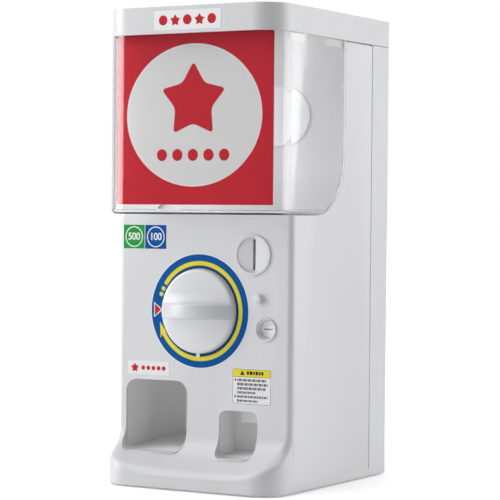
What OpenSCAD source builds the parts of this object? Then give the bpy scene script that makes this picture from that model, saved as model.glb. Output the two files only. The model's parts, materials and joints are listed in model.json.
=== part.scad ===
// Counter-top capsule toy vendor: moulded case, clear hopper cover, coin-operated
// dial, capsule rotor and chutes.  Millimetres, +Z up, front face towards -Y,
// origin under the middle of the case at the level of the feet.

/* [Case] */
// Overall width
body_w = 191; // [190:0.5:193]
// Overall depth
body_d = 229; // [228:0.5:232]
// Overall height from the feet to the top of the lid
body_h = 450; // [449:0.5:453]
// Plan radius of the front corners
corner_r = 27; // [25:0.5:28]
// Plan radius of the rear corners
rear_r = 6; // [5:0.5:8]
// Wall thickness of the mouldings
wall = 3; // [2.8:0.1:3.2]
// Depth of the front panel behind the front face of the lid
panel_depth = 32; // [31.8:0.1:32.4]
// Depth of the seam between the front and rear housings
seam_depth = 190; // [189:0.5:192]
// Height of the lid
lid_h = 25.3; // [24:0.1:26]

/* [Hopper cover] */
// Height of the bottom edge of the clear cover
cover_bottom = 257; // [256.8:0.1:257.2]
// Depth of the rear edge of the clear cover
cover_depth = 133; // [132:0.5:134]
// Side-view radius of the cover's lower rear corner
cover_r = 56; // [54:1:58]
// Wall thickness of the clear cover
cover_wall = 2.5; // [2:0.1:3]
// Width of the display card
card_w = 171.2; // [168:0.2:172]

/* [Dial and drive] */
// Sideways position of the dial axis
dial_x = -4.4; // [-4.6:0.1:-4.2]
// Height of the dial axis
dial_z = 166.2; // [166:0.1:166.4]
// Radius of the dial
dial_r = 39.7; // [39.4:0.1:39.7]
// How far the dial stands out of the panel
dial_proud = 20; // [18:0.5:22]
// Radius of the dial shaft
shaft_r = 5; // [4.9:0.1:5.1]
// Number of pinion teeth
pinion_teeth = 16; // [16:1:16]
// Number of crown gear teeth
crown_teeth = 48; // [48:1:48]
// Radius of the middle of the crown gear's teeth
crown_r = 62.5; // [62.5:0.1:62.6]

/* [Rotor] */
// Depth of the rotor axis
rotor_depth = 104.5; // [104.5:0.1:104.7]
// Radius of a capsule pocket
pocket_r = 25.5; // [25:0.1:25.6]
// Radius from the rotor axis to the pocket centres
pocket_pitch_r = 35.5; // [35.5:0.1:35.8]
// Height of the rotor
rotor_h = 42.5; // [42:0.5:44]

/* [Coin works] */
// Sideways position of the coin slot
slot_x = 54.1; // [54:0.1:54.2]
// Height of the coin slot's middle
slot_z = 220.2; // [220:0.1:220.4]
// Length of the coin slot
slot_l = 28.4; // [28:0.1:28.6]
// Width of the coin slot
slot_w = 2.7; // [2.6:0.1:2.8]
// Travel of the return button
button_travel = 4; // [3.8:0.1:4]

/* [Hidden] */
$fn = 64;
eps = 0.01;

// Levels of the case, from the surface that it stands on
foot_h = 3;
base_bottom = 1.5;
base_top = 9;
floor_top = 5;
lid_bottom = body_h - lid_h;
front_top = lid_bottom - 1.3;
rear_top = lid_bottom - 0.4;
cover_top = lid_bottom - 0.3;
tray_top = body_h - wall - 5;
tray_top_x = body_w / 2 - wall - 2;
rotor_y = depth(rotor_depth);
// Depth at which the front panel meets the side panels and the hopper tray
panel_joint = 40;
// Depth at which the throat in the hopper floor ends
throat_depth = 100;
throat_r = 62;
// Radius of the front panel's upright edges
edge_r = 4.4;
// Screws that hold the rear housing: distance from the middle, heights and boss
screw_x = 80;
screw_z = [40, 398];
boss_r = 5;
boss_l = 29;
boss_end = seam_depth - 1;
rib_t = 4;
screw_r = 2;
screw_l = 18;
pilot_l = 22;
screw_head_r = 3.8;
screw_seat = seam_depth + 8;
screw_head_h = 3;
screw_socket_r = 1.5;

// Lower flare of the front panel: a hollow curve, a straight slope and a lip
flare_top = 54;
flare_r = 26;
lip_z = 14.1;
lip_r = 12;
flare_turn = 62;

// Meshing of the drive: the crown gear hangs over the pinion
pressure_angle = 20;
pinion_r = crown_r * pinion_teeth / crown_teeth;
tooth_w = 3.5;
addendum = 2.2;
dedendum = 2.7;
pinion_face = 5;
mesh_depth = rotor_depth - crown_r;
mesh_z = dial_z + pinion_r;
crown_root_z = mesh_z + dedendum;
crown_tip_z = crown_root_z - addendum - dedendum;
crown_ring = 1.9;
rotor_r = crown_r + crown_ring;
crown_back = 3.8;
rotor_z = crown_root_z + crown_back;
floor_z = rotor_z - 3.5;
floor_t = 3;
floor_r = crown_r - crown_ring - 0.4;
well_in = rotor_r + 1;
well_out = well_in + 1.8;
spindle_r = 4;
pocket_count = 3;
drop_angle = 205;
drop_x = dial_x + pocket_pitch_r * cos(drop_angle);
drop_y = rotor_y + pocket_pitch_r * sin(drop_angle);
drop_r = pocket_r + 0.5;
chute_out = drop_r + 2;
carrier_bottom = 172;
carrier_top = 180;
beam_front = 119;
arm_w = 18;
hub_r = 13;
spindle_bush_r = 6;
spindle_head_r = 7;
spindle_drop = 4;

// Rubber feet
foot_r = 9;
foot_x = 72;
foot_depths = [30, 203];

// Tongue on the lid that drops inside the two housings
tongue_gap = wall + 0.4;
tongue_t = 2;
tongue_h = 6;
tongue_depth = cover_depth + 6;

// Card and foam pads inside the clear cover
card_depth = 12.5;
card_t = 0.7;
card_z = [265.8, 426.5];
pad_z = [417, 424];
pad_t = 3;
pad_spans = [[28, 56], [97, 131]];

// Labels: thickness, corners (x0, z0, x1, z1) and corner radius
label_t = 0.2;
lid_label_t = 0.25;
lid_label_box = [-36.5, 428, 36.5, 446];
price_box = [-90.5, 223.6, -41, 247.3];
name_box = [-84, 104, -37, 117];
notice_box = [32, 80.5, 75, 115];
notice_corner = 3;

// Ledge under the clear cover: its distance from the middle
ledge_x = 88;

// Cap over the spare opening in the hopper's back wall
cap_x = 27;
cap_z = 353;
cap_r = 29;
cap_hole_r = 26;
cap_t = 1.5;
cap_lip = 3;

// Capsule outlet and coin return
outlet_x0 = -86;
outlet_x1 = -17;
outlet_z0 = 32;
outlet_z1 = 100;
outlet_corner = 12;
cup_x0 = -88;
cup_x1 = -9;
cup_r = (cup_x1 - cup_x0) / 2;
cup_back = 125;
cup_top = 102;
cup_t = 2;
return_x0 = 18;
return_x1 = 60;
return_z0 = 30.5;
return_z1 = 75.5;
return_corner = 8;
return_back = 64;
return_top = 80;
flap_depth = 48;
flap_z = 76.6;
flap_x0 = 33.5;
flap_x1 = 59.6;

// Coin works
bezel_x = 53.7;
bezel_r = 19;
bezel_face = panel_depth - 1.4;
bezel_recess_r = 16.6;
bezel_neck_r = 17.5;
button_x = 61.3;
button_z = 179.3;
button_r = 4.35;
button_proud = 5.2;
collar_neck_r = 5.6;
stem_r = 1.2;
collar_back = panel_depth + 2.7 + button_travel;
chute_gap = 3;
chute_t = 1.2;
lever_z = 192;
lever_x0 = 59.4;
lever_x1 = 62.6;
lever_depth = 58;
ramp_x0 = 44;
ramp_x1 = 66;
ramp_top = [43, 104];
ramp_foot = [86, 84];
ramp_t = 2;
ramp_edge = 1.5;
ramp_rim = 3.6;
ramp_fence = 8;
box_x0 = -2;
box_x1 = 88;
box_d0 = 82;
box_d1 = 156;
box_top = 70;
box_t = 2;

// Lock, its cam and the keeper behind it
lock_x = 68.3;
lock_z = 151.6;
plug_r = 8.1;
plug_depth = 4.6;
lock_flange_r = 10.9;
lock_mouth_r = 10.2;
lock_neck_r = 9.7;
lock_back = 56;
cam_back = lock_back + 3.5;
cam_l = 20;
cam_w = 10;
cam_screw_r = 2;
keeper_x0 = 66.5;
keeper_x1 = 79;
keeper_depth = 52;
keeper_t = 2.5;
keeper_foot = 14;
keeper_top = 140;

// Bracket behind the panel that carries the shaft's rear bearing
frame_depth = 54;
frame_t = 3;
post_dx = 30;
bush_r = 8;
ring_r = 54.25;
post_z = [142, 176];
post_r = 3.5;
post_screw_r = 1.5;
post_screw_l = 8;
frame_hw = 35;
frame_z = [137, 181];
rear_bush_r = 7;
pin_r = 2;
pawl_x = 16;
pawl_z = 143;
pawl_tip = [12.9, 159.8];
ratchet_r = 17.6;
ratchet_teeth = 20;
ratchet_depth = 47;
ratchet_t = 4;
pawl_inset = 0.3;

// Y of a point at a given depth behind the front face
function depth(d) = d - body_d / 2;

// Points along an arc
function arc(c, r, a0, a1, n = 16) =
    [for (i = [0:n]) let (a = a0 + (a1 - a0) * i / n) c + r * [cos(a), sin(a)]];

// Plan outline between two depths, drawn in by g, with front and rear corner radii
function plan_points(g, d0, d1, rf, rr) = let (hw = body_w / 2 - g, y0 = depth(d0), y1 = depth(d1))
    concat(rf > 0 ? arc([-hw + rf, y0 + rf], rf, 180, 270) : [[-hw, y0]],
        rf > 0 ? arc([hw - rf, y0 + rf], rf, 270, 360) : [[hw, y0]],
        rr > 0 ? arc([hw - rr, y1 - rr], rr, 0, 90, 6) : [[hw, y1]],
        rr > 0 ? arc([-hw + rr, y1 - rr], rr, 90, 180, 6) : [[-hw, y1]]);

// Outline of the front panel in side view from the lip to the cover, g inside the surface
function flare_points(g) = let (c = [panel_depth - flare_r, flare_top])
    concat([[g, base_bottom - g]],
        arc([lip_r, lip_z], lip_r - g, 180, 180 - flare_turn, 8),
        arc(c, flare_r + g, -flare_turn, 0, 12));

// Side view of the front panel, g inside the surface
function panel_points(g, rear) = concat(flare_points(g),
    [[panel_depth + g, cover_bottom - g], [rear, cover_bottom - g], [rear, base_bottom - g]]);

// Curve under the hopper's rear in side view, g outside the cover's edge
function tray_arc(g, a0, a1) =
    arc([cover_depth - cover_r, cover_bottom + cover_r], cover_r + g, a0, a1, 24);

// Side view of the clear cover, g inside the surface
function cover_points(g, front, rear, top) = concat([[front, cover_bottom + g]],
    tray_arc(-g, -90, 0),
    g > 0 ? [[rear, cover_bottom + cover_r]] : [],
    [[rear, top], [front, top]]);

// Sweeps a side-view outline (depth, height) from x0 to x1
module across(x0, x1) {
    translate([x0, -body_d / 2, 0]) rotate([90, 0, 90]) linear_extrude(x1 - x0) children();
}

// Sweeps a front-view outline (x, height) from depth d0 to depth d1
module inward(d0, d1) {
    translate([0, depth(d1), 0]) rotate([90, 0, 0]) linear_extrude(d1 - d0) children();
}

// Round bar along Y between two depths
module bar(x, z, r, d0, d1) {
    translate([x, depth(d1), z]) rotate([90, 0, 0]) cylinder(r = r, h = d1 - d0);
}

// Straight-sided block on the plan outline
module slab(g, d0, d1, rf, rr, z0, z1) {
    translate([0, 0, z0]) linear_extrude(z1 - z0) polygon(plan_points(g, d0, d1, rf, rr));
}

// Box between two corners given as (x, depth, z)
module block(a, b) {
    translate([a[0], depth(a[1]), a[2]]) cube([b[0] - a[0], b[1] - a[1], b[2] - a[2]]);
}

// Rounded rectangle in front view, grown by g
module window_shape(x0, x1, z0, z1, r, g = 0) {
    polygon(concat(arc([x0 + r, z0 + r], r + g, 180, 270, 8), arc([x1 - r, z0 + r], r + g, 270, 360, 8),
        arc([x1 - r, z1 - r], r + g, 0, 90, 8), arc([x0 + r, z1 - r], r + g, 90, 180, 8)));
}

module outlet_shape(g = 0) {
    window_shape(outlet_x0, outlet_x1, outlet_z0, outlet_z1, outlet_corner, g);
}

module return_shape(g = 0) {
    window_shape(return_x0, return_x1, return_z0, return_z1, return_corner, g);
}

// Outer form of the front panel, drawn in by g
module panel_form(g) {
    rear = g > 0 ? panel_joint + 1 : panel_joint;
    intersection() {
        across(-body_w, body_w) polygon(panel_points(g, rear));
        union() {
            slab(g, g, rear, corner_r - g, 0, base_top - g, flare_top);
            slab(g, panel_depth + g, rear, edge_r - g, 0, flare_top - eps, cover_bottom + 1);
        }
    }
}

// Collars that join the windows' edges to the cups behind them
module window_surround() {
    intersection() {
        panel_form(0);
        inward(0, panel_depth + wall + 0.3) {
            outlet_shape(cup_t);
            return_shape(cup_t);
        }
    }
}

module front_panel() {
    color("whitesmoke") difference() {
        union() {
            difference() {
                panel_form(0);
                panel_form(wall);
            }
            window_surround();
        }
        inward(-1, panel_depth + wall + 1) {
            outlet_shape();
            return_shape();
        }
        panel_hole(dial_x, dial_z, bush_r);
        panel_hole(bezel_x, slot_z, bezel_neck_r);
        panel_hole(button_x, button_z, collar_neck_r);
        panel_hole(lock_x, lock_z, lock_neck_r);
    }
}

// Round hole through the front panel
module panel_hole(x, z, r) {
    bar(x, z, r, panel_depth - 1, panel_depth + wall + 1);
}

module screw_places() {
    for (x = [-screw_x, screw_x], z = screw_z) translate([x, 0, z]) children();
}

// Flat right-hand side panel with a boss and a rib for each screw
module side_panel() {
    inner = body_w / 2 - wall;
    color("whitesmoke") difference() {
        union() {
            across(inner, body_w / 2) polygon(concat([[panel_joint, base_top], [panel_joint, cover_bottom]],
                tray_arc(0, -90, 0),
                [[cover_depth, front_top], [seam_depth, front_top], [seam_depth, base_top]]));
            for (z = screw_z) {
                bar(screw_x, z, boss_r, boss_end - boss_l, boss_end);
                block([screw_x + boss_r - 1, boss_end - boss_l, z - rib_t / 2],
                    [inner + 1, boss_end, z + rib_t / 2]);
            }
        }
        for (z = screw_z) bar(screw_x, z, screw_r, seam_depth - pilot_l, seam_depth);
    }
}

module side_left() {
    mirror([1, 0, 0]) side_panel();
}

module side_right() {
    side_panel();
}

// Deck, curved floor and back wall of the hopper in one piece
module hopper_tray() {
    color("whitesmoke") difference() {
        union() {
            across(wall - body_w / 2, body_w / 2 - wall) polygon(concat(
                [[panel_joint, cover_bottom - wall], [panel_joint, cover_bottom]], tray_arc(0, -90, 0),
                [[cover_depth, front_top], [cover_depth + wall, front_top]], tray_arc(wall, 0, -90)));
            // The back wall runs on up into the lid
            block([-tray_top_x, cover_depth, front_top - 1], [tray_top_x, cover_depth + wall, tray_top]);
        }
        // Throat from the hopper down to the rotor
        intersection() {
            translate([dial_x, rotor_y, cover_bottom - cover_r]) cylinder(r = throat_r, h = 2 * cover_r);
            block([-throat_r - 10, panel_joint + 2, cover_bottom - cover_r],
                [throat_r, throat_depth, cover_bottom + cover_r]);
        }
        bar(cap_x, cap_z, cap_hole_r, cover_depth - 1, cover_depth + wall + 1);
    }
}

// Foot rim that runs right round the case
module foot_rim() {
    color("whitesmoke") difference() {
        slab(0, 0, body_d, corner_r, rear_r, base_bottom, base_top);
        slab(wall, wall, body_d - wall, corner_r - wall, rear_r - wall, base_bottom - 1, base_top + 1);
    }
}

module rear_housing() {
    color("whitesmoke") difference() {
        union() {
            difference() {
                slab(0, seam_depth, body_d, 0, rear_r, base_top, rear_top);
                slab(wall, seam_depth - 1, body_d - wall, 0, rear_r - wall, base_top - 1, rear_top + 1);
            }
            screw_places() bar(0, 0, boss_r + 1, seam_depth + 1, body_d - 1);
        }
        screw_places() bar(0, 0, screw_r + 0.2, seam_depth - 1, body_d + 1);
        screw_places() bar(0, 0, screw_head_r + 0.6, screw_seat, body_d + 1);
    }
}

module base_plate() {
    gap = wall + 0.2;
    color("gainsboro") difference() {
        slab(gap, gap, body_d - gap, corner_r - gap, rear_r - gap, base_bottom, floor_top);
        foot_places() cylinder(r = foot_r, h = foot_h);
    }
}

module foot_places() {
    for (x = [-foot_x, foot_x], d = foot_depths) translate([x, depth(d), 0]) children();
}

module rubber_feet() {
    color("dimgray") foot_places() cylinder(r = foot_r, h = foot_h);
}

module lid() {
    color("whitesmoke") {
        difference() {
            slab(0, 0, body_d, corner_r, rear_r, lid_bottom, body_h);
            slab(wall, wall, body_d - wall, corner_r - wall, rear_r - wall, lid_bottom - 1, body_h - wall);
        }
        // Locating tongue that drops inside the two housings
        difference() {
            slab(tongue_gap, tongue_depth, body_d - tongue_gap, 0, rear_r - wall,
                lid_bottom - tongue_h, body_h - wall + eps);
            slab(tongue_gap + tongue_t, cover_depth, body_d - tongue_gap - tongue_t, 0, 0,
                lid_bottom - tongue_h - 1, body_h - wall);
        }
    }
}

module lid_label() {
    color("white") block([lid_label_box[0], -lid_label_t, lid_label_box[1]],
        [lid_label_box[2], 0, lid_label_box[3]]);
}

module clear_cover() {
    color([0.85, 0.9, 0.95, 0.35]) difference() {
        intersection() {
            across(-body_w, body_w) polygon(cover_points(0, 0, cover_depth, cover_top));
            slab(0, 0, cover_depth, corner_r, 0, cover_bottom - 1, cover_top);
        }
        intersection() {
            across(-body_w, body_w)
                polygon(cover_points(cover_wall, 0, cover_depth + 1, cover_top + 1));
            slab(cover_wall, cover_wall, cover_depth + 1, corner_r - cover_wall, 0,
                cover_bottom, cover_top + 1);
        }
        // The bottom ends at the tray; its sides leave a narrow ledge
        block([-ledge_x, panel_joint, cover_bottom - 1],
            [ledge_x, cover_depth + 1, cover_bottom + cover_r + 10]);
    }
}

module cover_pads() {
    x = body_w / 2 - cover_wall;
    color("ivory") for (s = [0, 1], span = pad_spans) mirror([s, 0, 0])
        block([x - pad_t, span[0], pad_z[0]], [x, span[1], pad_z[1]]);
}

module display_card() {
    color("crimson") block([-card_w / 2, card_depth, card_z[0]],
        [card_w / 2, card_depth + card_t, card_z[1]]);
}

module blanking_cap() {
    color("whitesmoke") {
        bar(cap_x, cap_z, cap_r, cover_depth - cap_t, cover_depth);
        bar(cap_x, cap_z, cap_hole_r - 0.1, cover_depth - eps, cover_depth + wall + cap_lip);
    }
}

module rotor_well() {
    color("gainsboro") intersection() {
        translate([dial_x, rotor_y, floor_z]) difference() {
            cylinder(r = well_out, h = 100, $fn = 96);
            translate([0, 0, -1]) cylinder(r = well_in, h = 110, $fn = 96);
        }
        across(-body_w, body_w) polygon(concat(
            [[panel_depth, 0], [panel_depth, cover_bottom - wall]], tray_arc(wall, -90, 0),
            [[seam_depth, cover_bottom + cover_r], [seam_depth, 0]]));
    }
}

module rotor_floor() {
    color("lightgray") difference() {
        translate([dial_x, rotor_y, floor_z]) cylinder(r = floor_r, h = floor_t, $fn = 96);
        translate([drop_x, drop_y, floor_z - 1]) cylinder(r = drop_r, h = 10);
        translate([dial_x, rotor_y, floor_z - 1]) cylinder(r = spindle_bush_r, h = 10);
    }
}

module rotor_carrier() {
    color("silver") difference() {
        union() {
            block([-body_w / 2 + wall, beam_front, carrier_bottom],
                [body_w / 2 - wall, cover_depth, carrier_top]);
            block([dial_x - arm_w / 2, rotor_depth, carrier_bottom],
                [dial_x + arm_w / 2, beam_front + 1, carrier_top]);
            translate([dial_x, rotor_y, carrier_bottom])
                cylinder(r = hub_r, h = floor_z - carrier_bottom);
        }
        translate([drop_x, drop_y, carrier_bottom - 1]) cylinder(r = chute_out + 0.3, h = 40);
        translate([dial_x, rotor_y, carrier_bottom - 1]) cylinder(r = spindle_bush_r, h = 40);
    }
}

module spindle_bush() {
    color("goldenrod") difference() {
        translate([dial_x, rotor_y, carrier_bottom])
            cylinder(r = spindle_bush_r, h = floor_z + floor_t - carrier_bottom);
        translate([dial_x, rotor_y, carrier_bottom - 1]) cylinder(r = spindle_r + 0.05, h = 60);
    }
}

module rotor_spindle() {
    color("silver") {
        translate([dial_x, rotor_y, carrier_bottom - spindle_drop])
            cylinder(r = spindle_r, h = rotor_z + rotor_h - carrier_bottom + spindle_drop);
        translate([dial_x, rotor_y, carrier_bottom - spindle_drop])
            cylinder(r = spindle_head_r, h = spindle_drop - 0.5);
    }
}

module capsule_rotor() {
    color("royalblue") difference() {
        translate([dial_x, rotor_y, rotor_z]) cylinder(r = rotor_r, h = rotor_h, $fn = 96);
        translate([dial_x, rotor_y, rotor_z - 1]) cylinder(r = spindle_r, h = rotor_h + 2);
        for (i = [0:pocket_count - 1]) translate([dial_x, rotor_y, rotor_z - 1])
            rotate([0, 0, drop_angle + i * 360 / pocket_count]) translate([pocket_pitch_r, 0, 0])
                cylinder(r = pocket_r, h = rotor_h + 2);
    }
}

module crown_gear() {
    tip_w = tooth_w - 2 * addendum * tan(pressure_angle);
    root_w = tooth_w + 2 * dedendum * tan(pressure_angle);
    color("orange") translate([dial_x, rotor_y, crown_root_z]) {
        difference() {
            cylinder(r = rotor_r, h = rotor_z - crown_root_z, $fn = 96);
            translate([0, 0, -1]) cylinder(r = crown_r - crown_ring, h = 10, $fn = 96);
        }
        for (i = [0:crown_teeth - 1]) rotate([0, 0, (i + 0.5) * 360 / crown_teeth])
            translate([0, crown_r + crown_ring - 0.3, 0]) rotate([90, 0, 0])
                linear_extrude(2 * crown_ring - 0.6) polygon([[-root_w / 2, 0.5], [-root_w / 2, 0],
                    [-tip_w / 2, -addendum - dedendum], [tip_w / 2, -addendum - dedendum],
                    [root_w / 2, 0], [root_w / 2, 0.5]]);
    }
}

module agitator() {
    color("orange") translate([dial_x, rotor_y, rotor_z + rotor_h]) {
        cylinder(r1 = 9, r2 = 4, h = 12);
        for (i = [0:pocket_count - 1]) rotate([0, 0, drop_angle + 60 + i * 120])
            translate([0, -1, 0]) cube([15, 2, 5]);
    }
}

module capsule_baffle() {
    z = rotor_z + rotor_h + 14;
    color("gainsboro") intersection() {
        translate([drop_x, drop_y, z]) cylinder(r = drop_r + 2, h = 2);
        translate([dial_x, rotor_y, z]) difference() {
            cylinder(r = well_in, h = 2, $fn = 96);
            translate([0, 0, -1]) cylinder(r = 12, h = 4);
        }
    }
}

module capsule_chute() {
    bottom = cup_top + cup_t;
    color("gainsboro") difference() {
        translate([drop_x, drop_y, bottom]) difference() {
            union() {
                cylinder(r = chute_out, h = floor_z - bottom);
                cylinder(r = chute_out + 2.5, h = 2);
            }
            translate([0, 0, -1]) cylinder(r = drop_r, h = 100);
        }
        // Room for the crown gear's teeth
        translate([dial_x, rotor_y, crown_tip_z - 0.6]) difference() {
            cylinder(r = well_in, h = 20, $fn = 96);
            translate([0, 0, -1]) cylinder(r = floor_r, h = 22, $fn = 96);
        }
    }
}

// Plan outline of the outlet cup: straight sides and a round back
module cup_plan(g, front) {
    cx = (cup_x0 + cup_x1) / 2;
    polygon(concat([[cup_x0 - g, depth(front)], [cup_x1 + g, depth(front)]],
        arc([cx, depth(cup_back - cup_r)], cup_r + g, 0, 180, 32)));
}

module outlet_cup() {
    front = panel_depth + wall + 0.3;
    color("lightgray") difference() {
        translate([0, 0, outlet_z0 - 3]) linear_extrude(cup_top + cup_t - outlet_z0 + 3)
            cup_plan(cup_t, front);
        intersection() {
            translate([0, 0, outlet_z0 - 1]) linear_extrude(80) cup_plan(0, front - 1);
            across(-body_w, 0) polygon([[front - 2, outlet_z0], [front, outlet_z0],
                [cup_back, outlet_z0 + 9], [cup_back, cup_top], [front - 2, cup_top]]);
        }
        translate([drop_x, drop_y, cup_top - 1]) cylinder(r = drop_r, h = 10);
    }
}

// Low dome on the dial axis, facing forwards
module dial_dome(rim, rise, back) {
    r = (dial_r * dial_r + rise * rise) / (2 * rise);
    a = asin(dial_r / r);
    translate([dial_x, depth(back), dial_z]) rotate([90, 0, 0]) rotate_extrude($fn = 96)
        polygon(concat([[0, 0], [dial_r, 0]],
            [for (i = [12:-1:0]) [r * sin(a * i / 12), rim + rise - r * (1 - cos(a * i / 12))]]));
}

// Dial: a shallow dish with a straight grip bar across it
module dial_handle() {
    back = panel_depth - 0.3;
    grip = 7;
    rim_h = 4;
    dish_rise = 5;
    color("white") difference() {
        union() {
            intersection() {
                dial_dome(rim_h, dial_proud - rim_h, back);
                block([-60, 0, dial_z - grip], [60, back, dial_z + grip]);
            }
            dial_dome(rim_h, dish_rise, back);
            // White pointer at the edge of the dial
            block([dial_x - 1.8, back - 1.2, dial_z - 43.4], [dial_x + 1.8, back - 0.2, dial_z - 36]);
        }
        bar(dial_x, dial_z, shaft_r, back - 5, back + 1);
    }
}

module dial_shaft() {
    color("silver") bar(dial_x, dial_z, shaft_r, panel_depth - 5.3, frame_depth + 5);
}

module dial_bush() {
    color("goldenrod") difference() {
        union() {
            bar(dial_x, dial_z, bush_r, panel_depth, panel_depth + wall + 2);
            bar(dial_x, dial_z, bush_r + 3, panel_depth + wall, panel_depth + wall + 2);
        }
        bar(dial_x, dial_z, shaft_r + 0.05, panel_depth - 1, panel_depth + 10);
    }
}

module rear_bush() {
    color("goldenrod") difference() {
        bar(dial_x, dial_z, rear_bush_r, frame_depth - 0.5, frame_depth + frame_t + 0.5);
        bar(dial_x, dial_z, shaft_r + 0.05, frame_depth - 1, frame_depth + 10);
    }
}

// Involute of the pinion as the polar angle at a radius
pinion_base = pinion_r * cos(pressure_angle);
function involute(r) = let (t = sqrt(pow(max(r, pinion_base) / pinion_base, 2) - 1)) t * 180 / PI - atan(t);
function flank(r) = tooth_w / 2 / pinion_r * 180 / PI + involute(pinion_r) - involute(r);
function polar(r, a) = r * [cos(a), sin(a)];

module drive_pinion() {
    root = pinion_r - dedendum;
    tip = pinion_r + addendum;
    steps = 6;
    radii = concat([root], [for (i = [0:steps]) pinion_base + (tip - pinion_base) * i / steps]);
    last = len(radii) - 1;
    color("orange") difference() {
        translate([dial_x, 0, dial_z])
            inward(mesh_depth - pinion_face / 2, mesh_depth + pinion_face / 2)
                polygon([for (k = [0:pinion_teeth - 1], j = [0:2 * last + 1])
                    let (a = 90 + k * 360 / pinion_teeth, r = radii[j <= last ? j : 2 * last + 1 - j])
                        polar(r, j <= last ? a - flank(r) : a + flank(r))]);
        bar(dial_x, dial_z, shaft_r, 30, 60);
    }
}

module ratchet_wheel() {
    color("darkorange") difference() {
        translate([dial_x, 0, dial_z]) inward(ratchet_depth, ratchet_depth + ratchet_t)
            polygon([for (k = [0:ratchet_teeth - 1], j = [0, 1]) let (a = -k * 360 / ratchet_teeth)
                polar(j == 0 ? ratchet_r : ratchet_r - 2.5, a - j)]);
        bar(dial_x, dial_z, shaft_r, 30, 60);
    }
}

module ratchet_pawl() {
    front = ratchet_depth + pawl_inset;
    rear = ratchet_depth + ratchet_t - pawl_inset;
    color("firebrick") difference() {
        union() {
            bar(pawl_x, pawl_z, 2 * pin_r, front, rear);
            inward(front, rear) polygon([[pawl_x - 3.4, pawl_z + 1.5], [pawl_x + 3.4, pawl_z + 1.5],
                pawl_tip + [2.2, 0.4], pawl_tip]);
        }
        bar(pawl_x, pawl_z, pin_r + 0.05, front - 1, rear + 1);
    }
}

module pawl_pin() {
    color("silver") bar(pawl_x, pawl_z, pin_r, ratchet_depth - 1, frame_depth + frame_t);
}

module frame_posts() {
    for (s = [-1, 1], z = post_z) translate([dial_x + s * post_dx, 0, z]) children();
}

module mech_frame() {
    color("silver") difference() {
        union() {
            block([dial_x - frame_hw, frame_depth, frame_z[0]],
                [dial_x + frame_hw, frame_depth + frame_t, frame_z[1]]);
            frame_posts() bar(0, 0, post_r, panel_depth + wall, frame_depth + eps);
        }
        bar(dial_x, dial_z, rear_bush_r, frame_depth - 1, frame_depth + 10);
        bar(pawl_x, pawl_z, pin_r, frame_depth - 1, frame_depth + 10);
        frame_posts() bar(0, 0, post_screw_r, frame_depth - post_screw_l, frame_depth + 10);
    }
}

module frame_screws() {
    color("silver") frame_posts() {
        bar(0, 0, post_screw_r, frame_depth - post_screw_l, frame_depth + frame_t);
        bar(0, 0, 2 * post_screw_r, frame_depth + frame_t, frame_depth + frame_t + 2);
    }
}

module ring_label() {
    color("royalblue") difference() {
        bar(dial_x + 0.4, dial_z + 0.2, ring_r, panel_depth - label_t, panel_depth);
        bar(dial_x, dial_z, dial_r + 0.3, panel_depth - 1, panel_depth + 1);
    }
}

module coin_bezel() {
    valley = bezel_face + 3;
    back = panel_depth + wall;
    color("whitesmoke") difference() {
        union() {
            bar(bezel_x, slot_z, bezel_r, bezel_face, panel_depth);
            bar(bezel_x, slot_z, bezel_neck_r, panel_depth - eps, back);
        }
        // Round recess with two sloping sides that lead the coin to the slot
        intersection() {
            bar(bezel_x, slot_z, bezel_recess_r, bezel_face - 1, back);
            translate([0, 0, slot_z - bezel_r]) linear_extrude(2 * bezel_r) polygon([
                [slot_x, depth(valley)], [bezel_x - bezel_r, depth(bezel_face + 0.4)],
                [bezel_x - bezel_r, depth(bezel_face - 2)], [bezel_x + bezel_r, depth(bezel_face - 2)],
                [bezel_x + bezel_r, depth(bezel_face + 0.4)]]);
        }
        block([slot_x - slot_w / 2, 20, slot_z - slot_l / 2],
            [slot_x + slot_w / 2, back + 1, slot_z + slot_l / 2]);
    }
}

// Upright channel that the coin rolls and drops through
module coin_chute() {
    x0 = slot_x - chute_gap / 2;
    color("lightgray") difference() {
        across(x0 - chute_t, x0 + chute_gap + chute_t) polygon([[panel_depth + wall, 238], [67.2, 238],
            [67.2, 188], [71.5, 183], [71.5, 108], [40.5, 108], [40.5, 188], [panel_depth + wall, 200]]);
        across(x0, x0 + chute_gap) polygon([[panel_depth + wall - 1, 236], [66, 236], [66, 190],
            [70, 184], [70, 107], [42, 107], [42, 188], [36.6, 201], [panel_depth + wall - 1, 205]]);
    }
}

// Side view of the ramp, with its heights at the upper and the lower end
module ramp_side(upper, lower) {
    polygon([ramp_top, ramp_foot, ramp_foot + [0, lower], ramp_top + [0, upper]]);
}

module coin_ramp() {
    color("lightgray") {
        across(ramp_x0, ramp_x1) ramp_side(ramp_t, ramp_t);
        across(ramp_x0, ramp_x0 + ramp_edge) ramp_side(ramp_rim, ramp_fence);
        across(ramp_x1 - ramp_edge, ramp_x1) ramp_side(ramp_rim, ramp_fence);
    }
}

module coin_box() {
    color("lightgray") difference() {
        block([box_x0, box_d0, floor_top], [box_x1, box_d1, box_top]);
        block([box_x0 + box_t, box_d0 + box_t, floor_top + box_t],
            [box_x1 - box_t, box_d1 - box_t, box_top + 1]);
    }
}

module return_button() {
    color("whitesmoke") {
        bar(button_x, button_z, button_r, panel_depth - button_proud, panel_depth + 1);
        bar(button_x, button_z, stem_r, panel_depth, lever_depth - 2.5);
    }
}

module button_collar() {
    color("whitesmoke") difference() {
        union() {
            bar(button_x, button_z, collar_neck_r + 0.6, panel_depth - 0.5, panel_depth);
            bar(button_x, button_z, collar_neck_r, panel_depth - eps, collar_back + 1);
        }
        bar(button_x, button_z, button_r + 0.08, 20, collar_back);
        bar(button_x, button_z, stem_r + 0.08, 30, 45);
    }
}

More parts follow.
